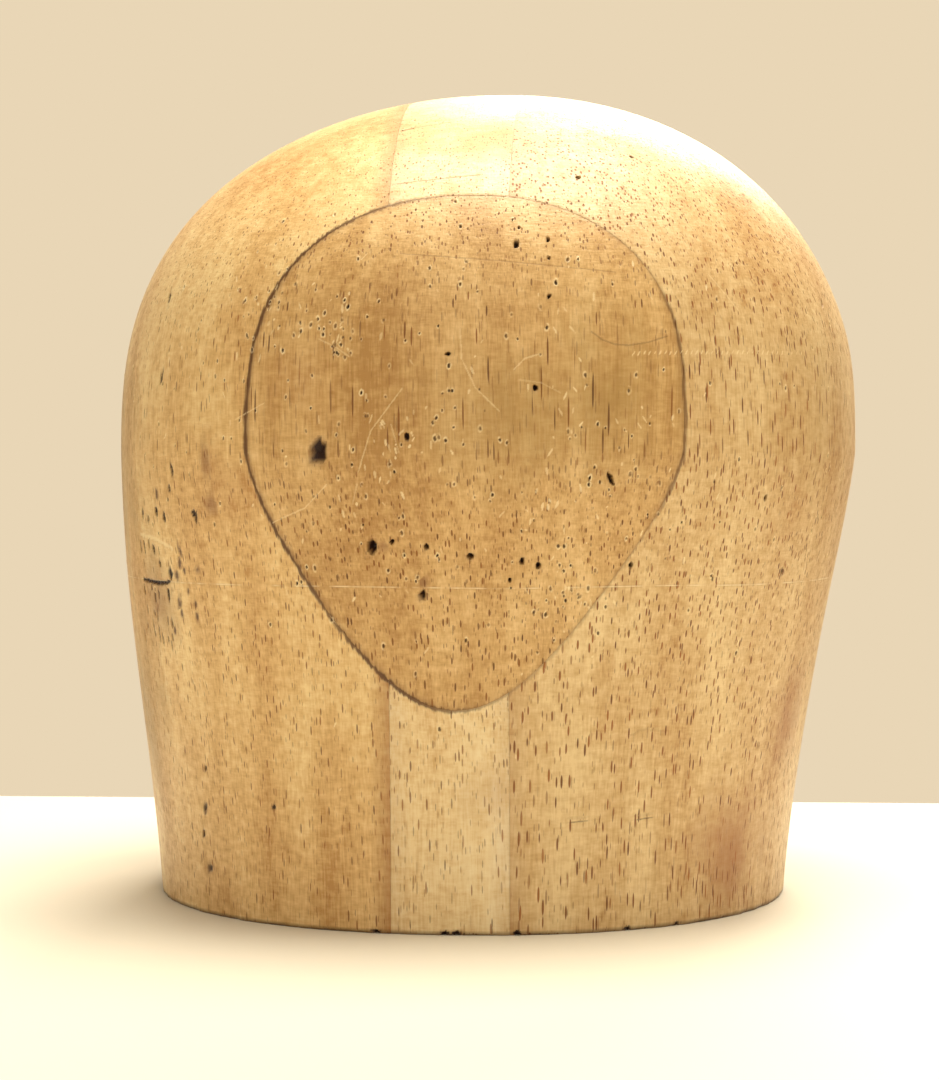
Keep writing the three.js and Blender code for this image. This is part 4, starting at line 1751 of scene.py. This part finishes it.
@dataclass
class Studio:
    """A white table with its far edge behind the block, a warm wall colour, and a soft light overhead."""

    table_far: float = 0.174
    table_half: float = 0.9
    table_near: float = -1.1
    camera_place: tuple[float, float, float] = (0.04427, -0.69869, 0.0992)
    camera_dip: float = 1.394
    camera_turn: float = 4.0
    lens: float = 97.27
    sensor: float = 36.0
    wall: str = "#e9d6b6"
    wall_distance: float = 2.2
    ambient: str = "#fff0d8"
    ambient_strength: float = 0.41

    def build(self) -> None:
        """Set up the camera, the table, the wall and the lights."""
        self._camera()
        table = block_of((-self.table_half, self.table_near, -0.03), (self.table_half, self.table_far, 0))
        slab = solid("table", table)
        edge = slab.modifiers.new("edge", "BEVEL")
        edge.width = 1.5 * MM
        edge.segments = 3
        slab.data.materials.append(Matt("white table", "#e6e1d3").material())
        far = self.wall_distance
        wall = solid("wall", block_of((-1.6, far, -1.2), (1.6, far + 0.02, 1.4)))
        wall.data.materials.append(Glow("plain wall", self.wall, 1.0).material())
        world = bpy.data.worlds.new("studio")
        bpy.context.scene.world = world
        world.use_nodes = True
        back = world.node_tree.nodes["Background"]
        back.inputs["Color"].default_value = linear(self.ambient)
        back.inputs["Strength"].default_value = self.ambient_strength
        self._light("overhead", (0.10, 0.02, 0.85), (0.02, 0.0, 0.1), 0.55, 12.0)
        self._light("rear", (0.22, 1.35, 0.95), (0.0, 0.0, 0.15), 0.7, 18.0)
        self._light("fill", (-0.15, -1.3, 0.8), (0, 0, 0.1), 0.9, 2.8)
        bpy.context.scene.view_settings.view_transform = "Standard"

    def _camera(self) -> None:
        """Place the camera."""
        camera = bpy.data.cameras.new("camera")
        camera.lens = self.lens
        camera.sensor_width = self.sensor
        made = bpy.data.objects.new("camera", camera)
        made.location = self.camera_place
        made.rotation_euler = (math.radians(90 - self.camera_dip), 0, math.radians(self.camera_turn))
        bpy.context.scene.collection.objects.link(made)
        bpy.context.scene.camera = made

    def _light(self, name: str, place: tuple[float, float, float], aim: tuple[float, float, float],
               size: float, power: float) -> None:
        """Add a soft square light that looks at a point.

        Args:
            name: the light's name.
            place: where it is.
            aim: the point it looks at.
            size: its side.
            power: its power, in watts.
        """
        light = bpy.data.lights.new(name, "AREA")
        light.size = size
        light.energy = power
        light.color = linear("#fff4e0")[:3]
        made = bpy.data.objects.new(name, light)
        made.location = place
        made.rotation_euler = (Vector(aim) - Vector(place)).to_track_quat("-Z", "Y").to_euler()
        bpy.context.scene.collection.objects.link(made)


# --------------------------------------------------------------------------------- the whole block

def main() -> None:
    """Build the studio and the block, piece by piece."""
    logging.basicConfig(level=logging.INFO, format="%(message)s")
    Studio().build()
    form = CarvedForm()
    form.build()
    LOG.info("form: %d faces", len(form.mesh.polygons))
    marks = Marks(form)
    cloud = marks.build()
    LOG.info("marks: %d", len(marks.found))
    FinerSurface(form, marks).build()
    LOG.info("finer form: %d faces", len(form.mesh.polygons))
    Boards(form, Wear(form, cloud)).build()
    bpy.data.objects.remove(cloud)
    SocketPlate().build()
    steel = BareIron("slotted steel screw", "#a7a39b", "#6a625a", rust_share=0.25, seed=2.0).material()
    for number, angle in enumerate(SLOT_ANGLES, start=1):
        PlateScrew(number, angle).build(steel)
    LOG.info("plate and screws: done")


if __name__ == "__main__":
    main()
